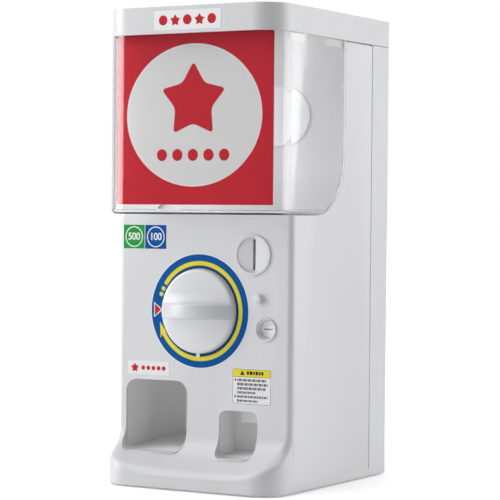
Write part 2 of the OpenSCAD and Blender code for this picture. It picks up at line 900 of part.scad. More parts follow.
// Coil spring around the button's stem
function coil_point(t, turns, r, wire, b, d0, d1) = [
    (r + wire * cos(b)) * cos(360 * turns * t),
    d0 + (d1 - d0) * t + wire * sin(b),
    (r + wire * cos(b)) * sin(360 * turns * t)];

module button_spring() {
    rings = 40;
    sides = 8;
    wire = 0.25;
    color("silver") translate([button_x, depth(0), button_z]) polyhedron(
        points = [for (i = [0:rings], j = [0:sides - 1])
            coil_point(i / rings, 3, 3, wire, 360 * j / sides, panel_depth + 1.3, collar_back - 0.3)],
        faces = concat([[for (j = [0:sides - 1]) j]],
            [for (i = [0:rings - 1], j = [0:sides - 1]) let (k = (j + 1) % sides)
                [i * sides + j, (i + 1) * sides + j, (i + 1) * sides + k, i * sides + k]],
            [[for (j = [sides - 1:-1:0]) rings * sides + j]]));
}

module reject_lever() {
    color("firebrick") difference() {
        union() {
            across(lever_x0, lever_x1) translate([lever_depth, lever_z]) circle(r = 3.5);
            across(lever_x0, lever_x1) polygon([[lever_depth - 2, 174], [lever_depth + 2, 174],
                [lever_depth + 2, lever_z], [lever_depth - 2, lever_z]]);
        }
        across(50, 70) translate([lever_depth, lever_z]) circle(r = 1.55);
    }
}

module lever_pin() {
    color("silver") {
        across(slot_x + chute_gap / 2 + chute_t, lever_x1 + 0.6)
            translate([lever_depth, lever_z]) circle(r = 1.5);
        across(lever_x1 + 0.6, lever_x1 + 1.6) translate([lever_depth, lever_z]) circle(r = 2.6);
    }
}

module return_cup() {
    front = panel_depth + wall + 0.3;
    color("lightgray") difference() {
        block([return_x0 - 2.5, front, return_z0 - 3], [return_x1 + 2.5, return_back + 2, return_top + 2]);
        across(return_x0 - 0.5, return_x1 + 0.5) polygon([[front - 1, return_z0], [front, return_z0],
            [return_back, return_z0 + 4], [return_back, return_top], [front - 1, return_top]]);
        block([46, 51, return_top - 1], [return_x1, return_back - 1, return_top + 3]);
        across(return_x0 - 1.5, return_x1 + 1.5) translate([flap_depth, flap_z]) circle(r = 1);
    }
}

module return_flap() {
    color([0.9, 0.9, 0.92, 0.7]) difference() {
        union() {
            across(flap_x0, flap_x1) translate([flap_depth, flap_z]) circle(r = 1.9);
            block([flap_x0, flap_depth - 0.8, 63], [flap_x1, flap_depth + 0.8, flap_z]);
        }
        across(0, 90) translate([flap_depth, flap_z]) circle(r = 1.05);
    }
}

module flap_pin() {
    color("silver") across(return_x0 - 1.5, return_x1 + 1.5) translate([flap_depth, flap_z])
        circle(r = 1);
}

module lock_bezel() {
    face = panel_depth - 1.5;
    color("silver") difference() {
        union() {
            bar(lock_x, lock_z, lock_flange_r, face, panel_depth);
            bar(lock_x, lock_z, lock_neck_r, panel_depth - eps, lock_back);
        }
        bar(lock_x, lock_z, plug_r + 0.08, 20, lock_back + 4);
        // Cone-shaped mouth in front of the plug
        translate([lock_x, depth(face - 0.1), lock_z]) rotate([-90, 0, 0])
            cylinder(r1 = lock_mouth_r, r2 = plug_r + 0.08, h = plug_depth + 1.6);
    }
}

module lock_plug() {
    face = panel_depth + plug_depth;
    color("silver") difference() {
        bar(lock_x, lock_z, plug_r, face, lock_back + 1);
        // Keyhole
        block([lock_x - 4.2, face - 1, lock_z - 0.5], [lock_x + 4.2, face + 4, lock_z + 0.5]);
        bar(lock_x - 3.6, lock_z, 0.9, face - 1, face + 4);
    }
}

module lock_clip() {
    color("silver") difference() {
        block([lock_x - 11, panel_depth + wall, lock_z - 15],
            [lock_x + 11, panel_depth + wall + 1.5, lock_z + 15]);
        bar(lock_x, lock_z, lock_neck_r, 30, 40);
    }
}

module lock_cam() {
    color("silver") difference() {
        union() {
            bar(lock_x, lock_z, 7, lock_back + 1, cam_back);
            block([lock_x - cam_w / 2, lock_back + 1, lock_z - cam_l],
                [lock_x + cam_w / 2, cam_back, lock_z]);
        }
        bar(lock_x, lock_z, cam_screw_r, lock_back, cam_back + 1);
    }
}

module cam_screw() {
    color("silver") {
        bar(lock_x, lock_z, cam_screw_r, lock_back + 1, cam_back);
        bar(lock_x, lock_z, 2 * cam_screw_r, cam_back, cam_back + 2.5);
    }
}

module keeper_bracket() {
    color("silver") {
        block([keeper_x0, keeper_depth, floor_top], [keeper_x1, keeper_depth + keeper_t, keeper_top]);
        block([keeper_x0, keeper_depth, floor_top],
            [keeper_x1, keeper_depth + keeper_foot, floor_top + keeper_t]);
    }
}

// Thin printed label on the front panel
module panel_label(b, r) {
    inward(panel_depth - label_t, panel_depth) window_shape(b[0], b[2], b[1], b[3], r);
}

module price_label() {
    color("seagreen") panel_label(price_box, 1);
}

module name_label() {
    color("white") panel_label(name_box, 1);
}

module notice_label() {
    color("white") panel_label(notice_box, notice_corner);
}

module housing_screws() {
    color("silver") screw_places() {
        bar(0, 0, screw_r, seam_depth - screw_l, screw_seat);
        difference() {
            bar(0, 0, screw_head_r, screw_seat, screw_seat + screw_head_h);
            bar(0, 0, screw_socket_r, screw_seat + screw_head_h / 2, screw_seat + screw_head_h + 1);
        }
    }
}

front_panel();
side_left();
side_right();
hopper_tray();
foot_rim();
rear_housing();
base_plate();
rubber_feet();
lid();
lid_label();
clear_cover();
cover_pads();
display_card();
blanking_cap();
rotor_well();
rotor_floor();
rotor_carrier();
capsule_rotor();
crown_gear();
rotor_spindle();
spindle_bush();
agitator();
capsule_baffle();
capsule_chute();
outlet_cup();
dial_handle();
dial_shaft();
dial_bush();
rear_bush();
drive_pinion();
ratchet_wheel();
ratchet_pawl();
pawl_pin();
mech_frame();
ring_label();
coin_bezel();
coin_chute();
coin_ramp();
coin_box();
return_button();
button_collar();
button_spring();
reject_lever();
lever_pin();
return_cup();
return_flap();
flap_pin();
lock_bezel();
lock_plug();
lock_clip();
lock_cam();
cam_screw();
keeper_bracket();
price_label();
name_label();
notice_label();
housing_screws();
frame_screws();
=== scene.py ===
import json
from math import cos, pi, radians, sin, sqrt

import bmesh
import bpy
from mathutils import Matrix, Vector

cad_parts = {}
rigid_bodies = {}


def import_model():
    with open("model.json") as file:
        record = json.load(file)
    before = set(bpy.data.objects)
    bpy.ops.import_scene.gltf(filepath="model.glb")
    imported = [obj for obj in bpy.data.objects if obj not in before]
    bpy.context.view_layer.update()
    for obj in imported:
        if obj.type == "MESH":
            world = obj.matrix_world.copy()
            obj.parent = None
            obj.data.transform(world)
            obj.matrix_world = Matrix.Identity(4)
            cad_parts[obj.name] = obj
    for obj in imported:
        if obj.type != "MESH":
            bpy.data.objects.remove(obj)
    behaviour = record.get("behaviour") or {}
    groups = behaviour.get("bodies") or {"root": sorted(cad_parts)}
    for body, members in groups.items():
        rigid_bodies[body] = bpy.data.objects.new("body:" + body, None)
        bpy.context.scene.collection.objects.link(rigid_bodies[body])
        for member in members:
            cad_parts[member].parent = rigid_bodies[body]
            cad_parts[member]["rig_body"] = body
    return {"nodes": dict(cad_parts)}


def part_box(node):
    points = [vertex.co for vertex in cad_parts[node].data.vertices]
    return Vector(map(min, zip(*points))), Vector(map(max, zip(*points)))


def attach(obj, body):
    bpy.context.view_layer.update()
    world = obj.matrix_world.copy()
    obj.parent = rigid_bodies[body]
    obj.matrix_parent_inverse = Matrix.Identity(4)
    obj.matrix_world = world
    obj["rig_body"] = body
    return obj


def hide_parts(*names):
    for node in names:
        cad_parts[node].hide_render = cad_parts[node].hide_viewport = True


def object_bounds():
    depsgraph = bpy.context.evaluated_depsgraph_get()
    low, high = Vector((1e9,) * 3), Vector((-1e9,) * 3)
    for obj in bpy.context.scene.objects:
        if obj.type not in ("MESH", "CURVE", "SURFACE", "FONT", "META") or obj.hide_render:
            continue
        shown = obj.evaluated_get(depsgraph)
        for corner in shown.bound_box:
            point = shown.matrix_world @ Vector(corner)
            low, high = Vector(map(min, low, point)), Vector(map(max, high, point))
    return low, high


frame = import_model()
cad_bounds = [list(corner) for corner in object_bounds()]

MM = 0.001
LAYER = 0.04 * MM                 # thickness of one printed layer of ink or film
NOISE_LOW, NOISE_HIGH = 0.3, 0.7  # where noise values mostly lie
EDGE_FROM, EDGE_TO = 0.52, 0.62   # pointiness over which an edge turns from plain to rubbed
STYRENE_IOR = 1.49


# ---------------------------------------------------------------- materials

def material(name, color, roughness=0.4, metallic=0.0):
    """A Principled material with the values that are the same all over it."""
    mat = bpy.data.materials.new(name)
    mat.use_nodes = True
    shader = mat.node_tree.nodes["Principled BSDF"]
    shader.inputs["Base Color"].default_value = (*color, 1)
    shader.inputs["Roughness"].default_value = roughness
    shader.inputs["Metallic"].default_value = metallic
    return mat, shader


def add_node(mat, kind, **values):
    node = mat.node_tree.nodes.new(kind)
    for name, value in values.items():
        if hasattr(node, name):
            setattr(node, name, value)
        else:
            node.inputs[name.replace("_", " ")].default_value = value
    return node


def noise(mat, scale, detail=4.0, rough=0.55):
    """Noise in object space, in cycles per metre."""
    place = mat.node_tree.nodes.get("place") or add_node(mat, "ShaderNodeTexCoord")
    place.name = "place"
    node = add_node(mat, "ShaderNodeTexNoise", Scale=scale, Detail=detail, Roughness=rough)
    mat.node_tree.links.new(place.outputs["Object"], node.inputs["Vector"])
    return node


def spread(mat, source, low, high):
    """Maps the range where noise mostly lies to low and high."""
    node = add_node(mat, "ShaderNodeMapRange")
    node.inputs["From Min"].default_value = NOISE_LOW
    node.inputs["From Max"].default_value = NOISE_HIGH
    node.inputs["To Min"].default_value = low
    node.inputs["To Max"].default_value = high
    mat.node_tree.links.new(source, node.inputs["Value"])
    return node.outputs["Result"]


def mix_colors(mat, factor, color_a, color_b):
    node = add_node(mat, "ShaderNodeMix")
    node.data_type = "RGBA"
    for socket, color in ((node.inputs[6], color_a), (node.inputs[7], color_b)):
        if isinstance(color, tuple):
            socket.default_value = (*color, 1)
        else:
            mat.node_tree.links.new(color, socket)
    mat.node_tree.links.new(factor, node.inputs[0])
    return node.outputs[2]


def bump(mat, shader, source, strength, distance):
    node = add_node(mat, "ShaderNodeBump", Strength=strength, Distance=distance)
    mat.node_tree.links.new(source, node.inputs["Height"])
    mat.node_tree.links.new(node.outputs["Normal"], shader.inputs["Normal"])


def shade(color, amount):
    return tuple(min(1.0, c * amount) for c in color)


def plastic(name, color, roughness=0.3, grain=0.15, coat=0.25, soil=0.93, texture=1400.0):
    """Moulded plastic: faint tone changes, uneven gloss, fine moulded grain, rubbed edges."""
    mat, shader = material(name, color, roughness)
    links = mat.node_tree.links
    cloud = noise(mat, 6.0, 2.0)
    patches = spread(mat, cloud.outputs["Fac"], 0, 1)
    tone = mix_colors(mat, patches, shade(color, soil), shade(color, 1.01))
    geometry = add_node(mat, "ShaderNodeNewGeometry")
    edge = add_node(mat, "ShaderNodeMapRange")
    edge.inputs["From Min"].default_value = EDGE_FROM
    edge.inputs["From Max"].default_value = EDGE_TO
    links.new(geometry.outputs["Pointiness"], edge.inputs["Value"])
    rubbed = mix_colors(mat, edge.outputs["Result"], tone, shade(color, 1.08))
    links.new(rubbed, shader.inputs["Base Color"])
    smear = noise(mat, 18.0, 3.0, 0.5)
    gloss = spread(mat, smear.outputs["Fac"], roughness * 0.9, roughness * 1.12)
    links.new(gloss, shader.inputs["Roughness"])
    fine = noise(mat, texture, 2.0)
    bump(mat, shader, fine.outputs["Fac"], grain, 0.03 * MM)
    shader.inputs["Coat Weight"].default_value = coat
    shader.inputs["Coat Roughness"].default_value = 0.18
    return mat


def printed(name, color, roughness=0.4, shine=0.25):
    """Ink under clear film: slight mottling of the ink and a ripple in the film."""
    mat, shader = material(name, color, roughness)
    links = mat.node_tree.links
    dots = noise(mat, 2600.0, 2.0)
    mottling = spread(mat, dots.outputs["Fac"], 0, 1)
    tone = mix_colors(mat, mottling, shade(color, 0.94), shade(color, 1.05))
    links.new(tone, shader.inputs["Base Color"])
    smear = noise(mat, 70.0, 4.0)
    gloss = spread(mat, smear.outputs["Fac"], roughness * 0.75, roughness * 1.4)
    links.new(gloss, shader.inputs["Roughness"])
    bump(mat, shader, smear.outputs["Fac"], 0.04, 0.1 * MM)
    shader.inputs["Specular IOR Level"].default_value = shine
    return mat


def metal(name, color, roughness):
    """Machined or plated metal with fine directional scratches."""
    streak = (1.0, 1.0, 14.0)
    mat, shader = material(name, color, roughness, 1.0)
    links = mat.node_tree.links
    place = add_node(mat, "ShaderNodeTexCoord")
    stretch = add_node(mat, "ShaderNodeMapping")
    stretch.inputs["Scale"].default_value = streak
    links.new(place.outputs["Object"], stretch.inputs["Vector"])
    lines = add_node(mat, "ShaderNodeTexNoise", Scale=420.0, Detail=5.0)
    links.new(stretch.outputs["Vector"], lines.inputs["Vector"])
    cloud = noise(mat, 30.0, 3.0)
    patches = spread(mat, cloud.outputs["Fac"], 0, 1)
    tone = mix_colors(mat, patches, shade(color, 0.86), shade(color, 1.08))
    links.new(tone, shader.inputs["Base Color"])
    scratches = spread(mat, lines.outputs["Fac"], roughness * 0.7, roughness * 1.5)
    links.new(scratches, shader.inputs["Roughness"])
    bump(mat, shader, lines.outputs["Fac"], 0.12, 0.05 * MM)
    return mat


def clear_plastic(name, color, roughness):
    """Clear moulded styrene that lets lamp light straight through."""
    mat, shader = material(name, color, roughness)
    tree = mat.node_tree
    shader.inputs["Transmission Weight"].default_value = 1.0
    shader.inputs["IOR"].default_value = STYRENE_IOR
    flow = noise(mat, 30.0, 2.0)
    haze = spread(mat, flow.outputs["Fac"], roughness * 0.6, roughness * 1.5)
    tree.links.new(haze, shader.inputs["Roughness"])
    bump(mat, shader, flow.outputs["Fac"], 0.02, 0.1 * MM)
    path = add_node(mat, "ShaderNodeLightPath")
    through = add_node(mat, "ShaderNodeBsdfTransparent")
    through.inputs["Color"].default_value = (*shade(color, 0.97), 1)
    mix = add_node(mat, "ShaderNodeMixShader")
    tree.links.new(path.outputs["Is Shadow Ray"], mix.inputs["Fac"])
    tree.links.new(shader.outputs["BSDF"], mix.inputs[1])
    tree.links.new(through.outputs["BSDF"], mix.inputs[2])
    tree.links.new(mix.outputs["Shader"], tree.nodes["Material Output"].inputs["Surface"])
    return mat


WHITE = (0.74, 0.742, 0.765)
M = {
    "case": plastic("case_white", WHITE, 0.33, 0.10, 0.15, 0.985),
    "dial": plastic("dial_white", (0.80, 0.805, 0.825), 0.2, 0.04, 0.3, 0.985),
    # The grip bar is one piece with the dial's disc; its darker colour is painted shade.
    "grip": plastic("grip_white_painted_shade", (0.68, 0.69, 0.715), 0.3, 0.03, 0.1, 0.985),
    "inner": plastic("inner_grey", (0.60, 0.60, 0.61), 0.45, 0.2, 0.0, 0.96),
    "hopper": plastic("hopper_white", (0.76, 0.75, 0.755), 0.4, 0.15, 0.0, 0.97),
    # Paler than the case's white: painted light on the recessed, shaded lock plug.
    "lock": plastic("lock_white_painted_light", (0.95, 0.955, 0.96), 0.3, 0.12, 0.2, 0.98),
    # Paler than the case's white: painted light in the shaded insides of the outlet and the coin return; the
    # blanking cap is drawn in it as well.
    "cup": plastic("cup_white_painted_light", (0.96, 0.955, 0.96), 0.5, 0.15, 0.0, 0.985),
    "rubber": plastic("foot_rubber", (0.025, 0.025, 0.027), 0.75, 0.5, 0.0, 0.8, 900.0),
    "foam": plastic("foam_cream", (0.95, 0.93, 0.89), 0.85, 0.6, 0.0, 0.95, 700.0),
    "gear": plastic("acetal_orange", (0.80, 0.28, 0.04), 0.4, 0.2, 0.05),
    "rotor": plastic("rotor_blue", (0.05, 0.16, 0.52), 0.38, 0.25, 0.1),
    "lever": plastic("lever_red", (0.55, 0.04, 0.04), 0.38, 0.2, 0.1),
    "clear": clear_plastic("clear_styrene", (0.985, 0.99, 0.995), 0.03),
    "pin": plastic("pin_grey", (0.74, 0.74, 0.76), 0.3, 0.1, 0.2, 0.96),
    "flap": plastic("flap_milky", (0.80, 0.80, 0.82), 0.3, 0.1, 0.2, 0.98),
    # An opaque near-white colour for the clear cover's cut edges: painted highlight.
    "edge": plastic("styrene_edge_painted_highlight", (0.96, 0.965, 0.97), 0.25, 0.1, 0.3, 0.985),
    "steel": metal("zinc_plate", (0.62, 0.62, 0.64), 0.32),
    "brass": metal("turned_brass", (0.78, 0.58, 0.26), 0.25),
    "ink_white": printed("ink_white", (0.88, 0.88, 0.89)),
    "ink_red": printed("ink_red", (0.56, 0.010, 0.022)),
    "ink_card": printed("ink_card_red", (0.56, 0.010, 0.024), 0.5, 0.1),
    "ink_grey": printed("ink_grey", (0.73, 0.735, 0.725), 0.5, 0.1),
    "ink_pale": printed("ink_pale", (0.80, 0.80, 0.80), 0.5, 0.1),
    "ink_blue": printed("ink_blue", (0.001, 0.095, 0.36), 0.45, 0.08),
    "ink_navy": printed("ink_navy", (0.003, 0.045, 0.18)),
    "ink_yellow": printed("ink_yellow", (0.87, 0.72, 0.035)),
    "ink_lime": printed("ink_lime", (0.42, 0.62, 0.20)),
    "ink_green": printed("ink_green", (0.004, 0.33, 0.05)),
    "ink_black": printed("ink_black", (0.02, 0.02, 0.022)),
    "ink_text": printed("ink_text", (0.16, 0.16, 0.17)),
}


# ------------------------------------------------------------------- pieces

def link(name, mesh, mat, body):
    piece = bpy.data.objects.new(name, mesh)
    bpy.context.scene.collection.objects.link(piece)
    mesh.materials.clear()
    mesh.materials.append(M[mat])
    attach(piece, body)
    return piece


def smooth(mesh, angle=32):
    mesh.shade_smooth()
    mesh.set_sharp_from_angle(angle=radians(angle))


def apply_modifiers(piece):
    """Bakes a piece's modifiers into its mesh."""
    graph = bpy.context.evaluated_depsgraph_get()
    done = bpy.data.meshes.new_from_object(piece.evaluated_get(graph))
    piece.modifiers.clear()
    old = piece.data
    piece.data = done
    bpy.data.meshes.remove(old)
    return piece


def weigh_edges(mesh, angle, choose):
    """Marks the edges sharper than an angle whose middle passes the test choose(point)."""
    shape = bmesh.new()
    shape.from_mesh(mesh)
    layers = shape.edges.layers.float
    weight = layers.get("bevel_weight_edge") or layers.new("bevel_weight_edge")
    for edge in shape.edges:
        middle = (edge.verts[0].co + edge.verts[1].co) / 2
        bent = len(edge.link_faces) == 2 and edge.calc_face_angle(0) > radians(angle)
        edge[weight] = 1.0 if bent and choose(middle) else 0.0
    shape.to_mesh(mesh)
    shape.free()


def add_bevel(piece, width, segments, angle, choose=None):
    edge = piece.modifiers.new("edge", "BEVEL")
    if choose:
        weigh_edges(piece.data, angle, choose)
        edge.limit_method = "WEIGHT"
    else:
        edge.limit_method = "ANGLE"
        edge.angle_limit = radians(angle)
    edge.width = width * MM
    edge.segments = segments
    edge.use_clamp_overlap = True
    edge.miter_outer = "MITER_ARC"


def even_normals(piece, angle=32):
    """Smooth shading that leaves the large flat faces flat."""
    smooth(piece.data, angle)
    weigh = piece.modifiers.new("weigh", "WEIGHTED_NORMAL")
    weigh.keep_sharp = True
    apply_modifiers(piece)


def cleaned(source):
    """A copy of a CAD mesh with its flat faces joined up."""
    mesh = source.data.copy()
    shape = bmesh.new()
    shape.from_mesh(mesh)
    bmesh.ops.remove_doubles(shape, verts=shape.verts, dist=0.002 * MM)
    bmesh.ops.dissolve_limit(shape, angle_limit=radians(0.4), verts=shape.verts, edges=shape.edges,
                             use_dissolve_boundaries=False)
    shape.to_mesh(mesh)
    shape.free()
    return mesh


def finish_node(node, mat, width=0.5, segments=3, angle=40, choose=None):
    """A copy of a CAD node with softened edges that stands for it."""
    source = frame["nodes"][node]
    piece = link(node + "_shell", cleaned(source), mat, source["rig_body"])
    add_bevel(piece, width, segments, angle, choose)
    apply_modifiers(piece)
    even_normals(piece)
    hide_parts(node)
    return piece


def solid(name, verts, faces, mat, body="root", angle=32):
    mesh = bpy.data.meshes.new(name)
    mesh.from_pydata([tuple(v) for v in verts], [], faces)
    mesh.validate()
    shape = bmesh.new()
    shape.from_mesh(mesh)
    bmesh.ops.recalc_face_normals(shape, faces=shape.faces)
    shape.to_mesh(mesh)
    shape.free()
    piece = link(name, mesh, mat, body)
    smooth(mesh, angle)
    return piece


def loft(name, rings, mat, body="root", caps=True, angle=32):
    """Skins a list of rings with the same number of points."""
    count = len(rings[0])
    verts = [v for ring in rings for v in ring]
    faces = []
    for i in range(len(rings) - 1):
        for j in range(count):
            k = (j + 1) % count
            faces.append((i * count + j, i * count + k, (i + 1) * count + k, (i + 1) * count + j))
    if caps:
        faces.append(tuple(range(count)))
        faces.append(tuple(range((len(rings) - 1) * count, len(rings) * count)))
    return solid(name, verts, faces, mat, body, angle)


def cut_away(piece, tool):
    """Cuts a tool's shape out of a piece and removes the tool."""
    cut = piece.modifiers.new("cut", "BOOLEAN")
    cut.operation = "DIFFERENCE"
    cut.solver = "EXACT"
    cut.object = tool
    apply_modifiers(piece)
    bpy.data.objects.remove(tool)


def front_prism(name, outline, y_front, thickness, mat, body="root"):
    """A printed shape or plate: an (x, z) outline in metres, from y_front back by thickness."""
    rings = [[(x, y, z) for x, z in outline] for y in (y_front, y_front + thickness)]
    return loft(name, rings, mat, body)


def ink(name, outline, y_back, layer, mat):
    """A printed shape in the given layer, counted forwards from the surface at y_back."""
    return front_prism(name, outline, y_back - layer * LAYER, LAYER, mat)


def front_band(name, outer, inner, y_front, thickness, mat, body="root"):
    """A plate between two (x, z) outlines with the same number of points."""
    count = len(outer)
    verts = [(x, y, z) for y in (y_front, y_front + thickness) for loop in (outer, inner) for x, z in loop]
    faces = []
    for j in range(count):
        k = (j + 1) % count
        o0, i0, o1, i1 = 0, count, 2 * count, 3 * count
        faces += [(o0 + j, o0 + k, i0 + k, i0 + j), (o1 + j, o1 + k, i1 + k, i1 + j),
                  (o0 + j, o0 + k, o1 + k, o1 + j), (i0 + j, i0 + k, i1 + k, i1 + j)]
    return solid(name, verts, faces, mat, body)


def circle_points(cx, cz, rx, count=96, rz=None, start=0.0, sweep=360.0, ends=False):
    """Points round a circle, ellipse or arc; with ends, the last point lies at the arc's end."""
    rz = rx if rz is None else rz
    steps = count - 1 if ends else count
    turns = [radians(start + sweep * i / steps) for i in range(count)]
    return [(cx + rx * cos(a), cz + rz * sin(a)) for a in turns]


def round_rect(x0, x1, z0, z1, r, steps=8):
    points = []
    corners = ((x1 - r, z1 - r, 0), (x0 + r, z1 - r, 90), (x0 + r, z0 + r, 180), (x1 - r, z0 + r, 270))
    for cx, cz, a in corners:
        turns = [radians(a + 90 * i / steps) for i in range(steps + 1)]
        points += [(cx + r * cos(t), cz + r * sin(t)) for t in turns]
    return points


def star_points(cx, cz, r, inner=0.5, points=5):
    return [(cx + (r if i % 2 == 0 else r * inner) * sin(pi * i / points),
             cz + (r if i % 2 == 0 else r * inner) * cos(pi * i / points)) for i in range(2 * points)]


def rounded(outline, radius, steps=5):
    """Rounds every corner of an outline."""
    out = []
    n = len(outline)
    for i in range(n):
        a, b, c = (Vector(outline[(i + k) % n]) for k in (-1, 0, 1))
        ab, cb = a - b, c - b
        cut = min(radius, 0.45 * ab.length, 0.45 * cb.length)
        p, q = b + ab.normalized() * cut, b + cb.normalized() * cut
        for k in range(steps + 1):
            t = k / steps
            out.append(tuple(p * (1 - t) ** 2 + b * (2 * t * (1 - t)) + q * t ** 2))
    return out


def number_shape(name, text, cx, cz, height, y_front, mat):
    """Generic numerals, such as a coin's value."""
    curve = bpy.data.curves.new(name, "FONT")
    curve.body = text
    curve.align_x = "CENTER"
    curve.align_y = "CENTER"
    curve.size = height
    curve.space_character = 0.93
    curve.offset = height * 0.018
    curve.extrude = LAYER / 2
    maker = bpy.data.objects.new(name, curve)
    bpy.context.scene.collection.objects.link(maker)
    maker.matrix_world = Matrix.Translation((cx, y_front, cz)) @ Matrix.Rotation(pi / 2, 4, "X")
    bpy.context.view_layer.update()
    graph = bpy.context.evaluated_depsgraph_get()
    mesh = bpy.data.meshes.new_from_object(maker.evaluated_get(graph))
    mesh.transform(maker.matrix_world)
    bpy.data.objects.remove(maker)
    piece = link(name, mesh, mat, "root")
    return piece


# --------------------------------------------------------- case and hopper

low, high = (Vector(c) for c in cad_bounds)
label_low, label_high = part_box("ring_label")
panel_y = label_high.y                       # the front panel's plane
film_y = label_low.y                         # the front of a label stuck on it

HALF_W = high.x                              # half the case's width
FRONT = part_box("lid")[0].y                   # plane of the lid's front
RIM_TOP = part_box("foot_rim")[1].z
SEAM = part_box("rear_housing")[0].y
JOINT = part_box("side_right")[0].y            # where the front panel meets the sides
COVER_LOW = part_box("clear_cover")[0].z
WALL = 3.0 * MM

# Lower flare of the front panel: a lip, a slope and a hollow curve
LIP_Z, LIP_R = 14.1 * MM, 12.0 * MM
HOLLOW_Z, HOLLOW_R = 54.0 * MM, 26.0 * MM
FLARE_TURN = radians(62)
CORNER_R, EDGE_R = 27.0 * MM, 5.6 * MM       # upright corners at the plinth and at the panel
SET_BACK = panel_y - FRONT                   # panel behind the lid's front
TOOL_LEAD, TOOL_LENGTH = 10 * MM, 60 * MM    # reach of the tools that cut the panel's holes

# Bow of the lip and slope: where each change of height begins and ends
SAG, SAG_FROM, SAG_TO = 4.5 * MM, 22 * MM, 40 * MM
LIFT, LIFT_FROM, LIFT_TO = 7.0 * MM, 24 * MM, 66 * MM
RISE_TO = 20 * MM
SIDE_POWER, BLEND_POWER = 3.5, 0.8

# The clear cover
SKIN_T, ROUND_R, EDGE_T = 2.5 * MM, 5.0 * MM, 3.2 * MM
TRAY_CURVE = 56.0 * MM                       # radius of the side wall's low rear corner
LEDGE_IN = 7.5 * MM                          # the floor's ledge behind the front


def front_setback(z):
    """How far the front panel's surface lies behind the lid's front at a height."""
    lip_end = (LIP_R - LIP_R * cos(FLARE_TURN), LIP_Z + LIP_R * sin(FLARE_TURN))
    middle = SET_BACK - HOLLOW_R
    hollow_end = (middle + HOLLOW_R * cos(FLARE_TURN), HOLLOW_Z - HOLLOW_R * sin(FLARE_TURN))
    if z <= LIP_Z:
        return 0.0
    if z <= lip_end[1]:
        return LIP_R - sqrt(LIP_R ** 2 - (z - LIP_Z) ** 2)
    if z <= hollow_end[1]:
        part = (z - lip_end[1]) / (hollow_end[1] - lip_end[1])
        return lip_end[0] + part * (hollow_end[0] - lip_end[0])
    if z < HOLLOW_Z:
        return middle + sqrt(HOLLOW_R ** 2 - (HOLLOW_Z - z) ** 2)
    return SET_BACK


def u_path(inset, front, radius, rear, steps=14, hold=0.8 * MM, across=0):
    """Plan path (x, y) from the left rear round the front to the right rear, with extra points across."""
    hw = HALF_W - inset
    radius = max(radius, 0.2 * MM)
    right = []
    for i in range(steps + 1):
        a = pi / 2 * i / steps
        right.append((hw - radius + radius * sin(a), front + radius - radius * cos(a)))
    rear = max(rear, front + radius + 2 * hold)
    right = [(hw - radius - hold, front)] + right + [(hw, front + radius + hold), (hw, rear)]
    middle = [(right[0][0] * (2 * i / across - 1), front) for i in range(1, across)]
    return [(-x, y) for x, y in reversed(right)] + middle + right


def ease(value, start, end):
    """Smooth step from 0 at start to 1 at end."""
    t = max(0.0, min(1.0, (value - start) / (end - start)))
    return t * t * (3 - 2 * t)


def bowed(x, z):
    """Height of a point of the flare: the lip hangs in the middle and rises at the corners."""
    side = (abs(x) / HALF_W) ** SIDE_POWER
    rise = ease(z, RIM_TOP, RISE_TO)
    sag = -SAG * (1 - side) * rise * (1 - ease(z, SAG_FROM, SAG_TO))
    lift = LIFT * side * rise * (1 - ease(z, LIFT_FROM, LIFT_TO))
    return z + sag + lift


def front_panel_skin():
    """The front panel with its flare and its upright corners blended into the plinth's."""
    levels = [RIM_TOP, LIP_Z * 0.93]
    levels += [LIP_Z + LIP_R * sin(FLARE_TURN * i / 10) for i in range(11)]
    lip_z, hollow_z = levels[-1], HOLLOW_Z - HOLLOW_R * sin(FLARE_TURN)
    levels += [lip_z + (hollow_z - lip_z) * i / 4 for i in range(1, 4)]
    levels += [HOLLOW_Z - HOLLOW_R * sin(FLARE_TURN * (1 - i / 16)) for i in range(17)]
    deck = COVER_LOW - WALL
    levels += [HOLLOW_Z + 3 * MM, HOLLOW_Z + (deck - HOLLOW_Z) / 2, deck]
    rings = []
    for z in levels:
        back = front_setback(z)
        radius = EDGE_R + (CORNER_R - EDGE_R) * (1 - back / SET_BACK) ** BLEND_POWER
        outer = u_path(0, FRONT + back, radius, JOINT, across=28)
        hw, inside = HALF_W - WALL, panel_y + WALL
        inner = [(hw, JOINT), (hw, inside), (-hw, inside), (-hw, JOINT)]
        fade = [ease(JOINT - y, 0.0, 10 * MM) for x, y in outer]
        rings.append([(x, y, z + part * (bowed(x, z) - z)) for (x, y), part in zip(outer, fade)]
                     + [(x, y, z) for x, y in inner])
    skin = loft("panel_skin", rings, "case")
    outlet, giveback = window_outlines()
    holes = [("outlet_hole", outlet), ("return_hole", giveback)]
    for node, part in (("coin_bezel", 0.905), ("button_collar", 0.88), ("lock_bezel", 0.9)):
        lo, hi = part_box(node)
        radius = (hi.z - lo.z) / 2 * part
        holes.append((node + "_hole", circle_points((lo.x + hi.x) / 2, (lo.z + hi.z) / 2, radius, 64)))
    for name, outline in holes:
        tool = front_prism(name, outline, FRONT - TOOL_LEAD, TOOL_LENGTH, "case")
        cut_away(skin, tool)
    even_normals(skin)
    top = [[(x, y, z) for x, y in u_path(0, panel_y, EDGE_R, JOINT)] for z in (deck, COVER_LOW)]
    loft("panel_deck", top, "case")
    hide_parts("front_panel")
    for name, outline in (("outlet_rim", outlet), ("return_rim", giveback)):
        bead(name, outline, 0.5 * MM)


def window_outlines():
    """The outlet's and the coin return's outlines in front view."""
    lo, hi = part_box("outlet_cup")
    outlet = round_rect(lo.x + 4 * MM, hi.x - 10 * MM, lo.z + 3 * MM, hi.z - 4 * MM, 12 * MM)
    lo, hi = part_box("return_cup")
    giveback = round_rect(lo.x + 2.5 * MM, hi.x - 2.5 * MM, lo.z + 3 * MM, hi.z - 7 * MM, 8 * MM)
    return outlet, giveback


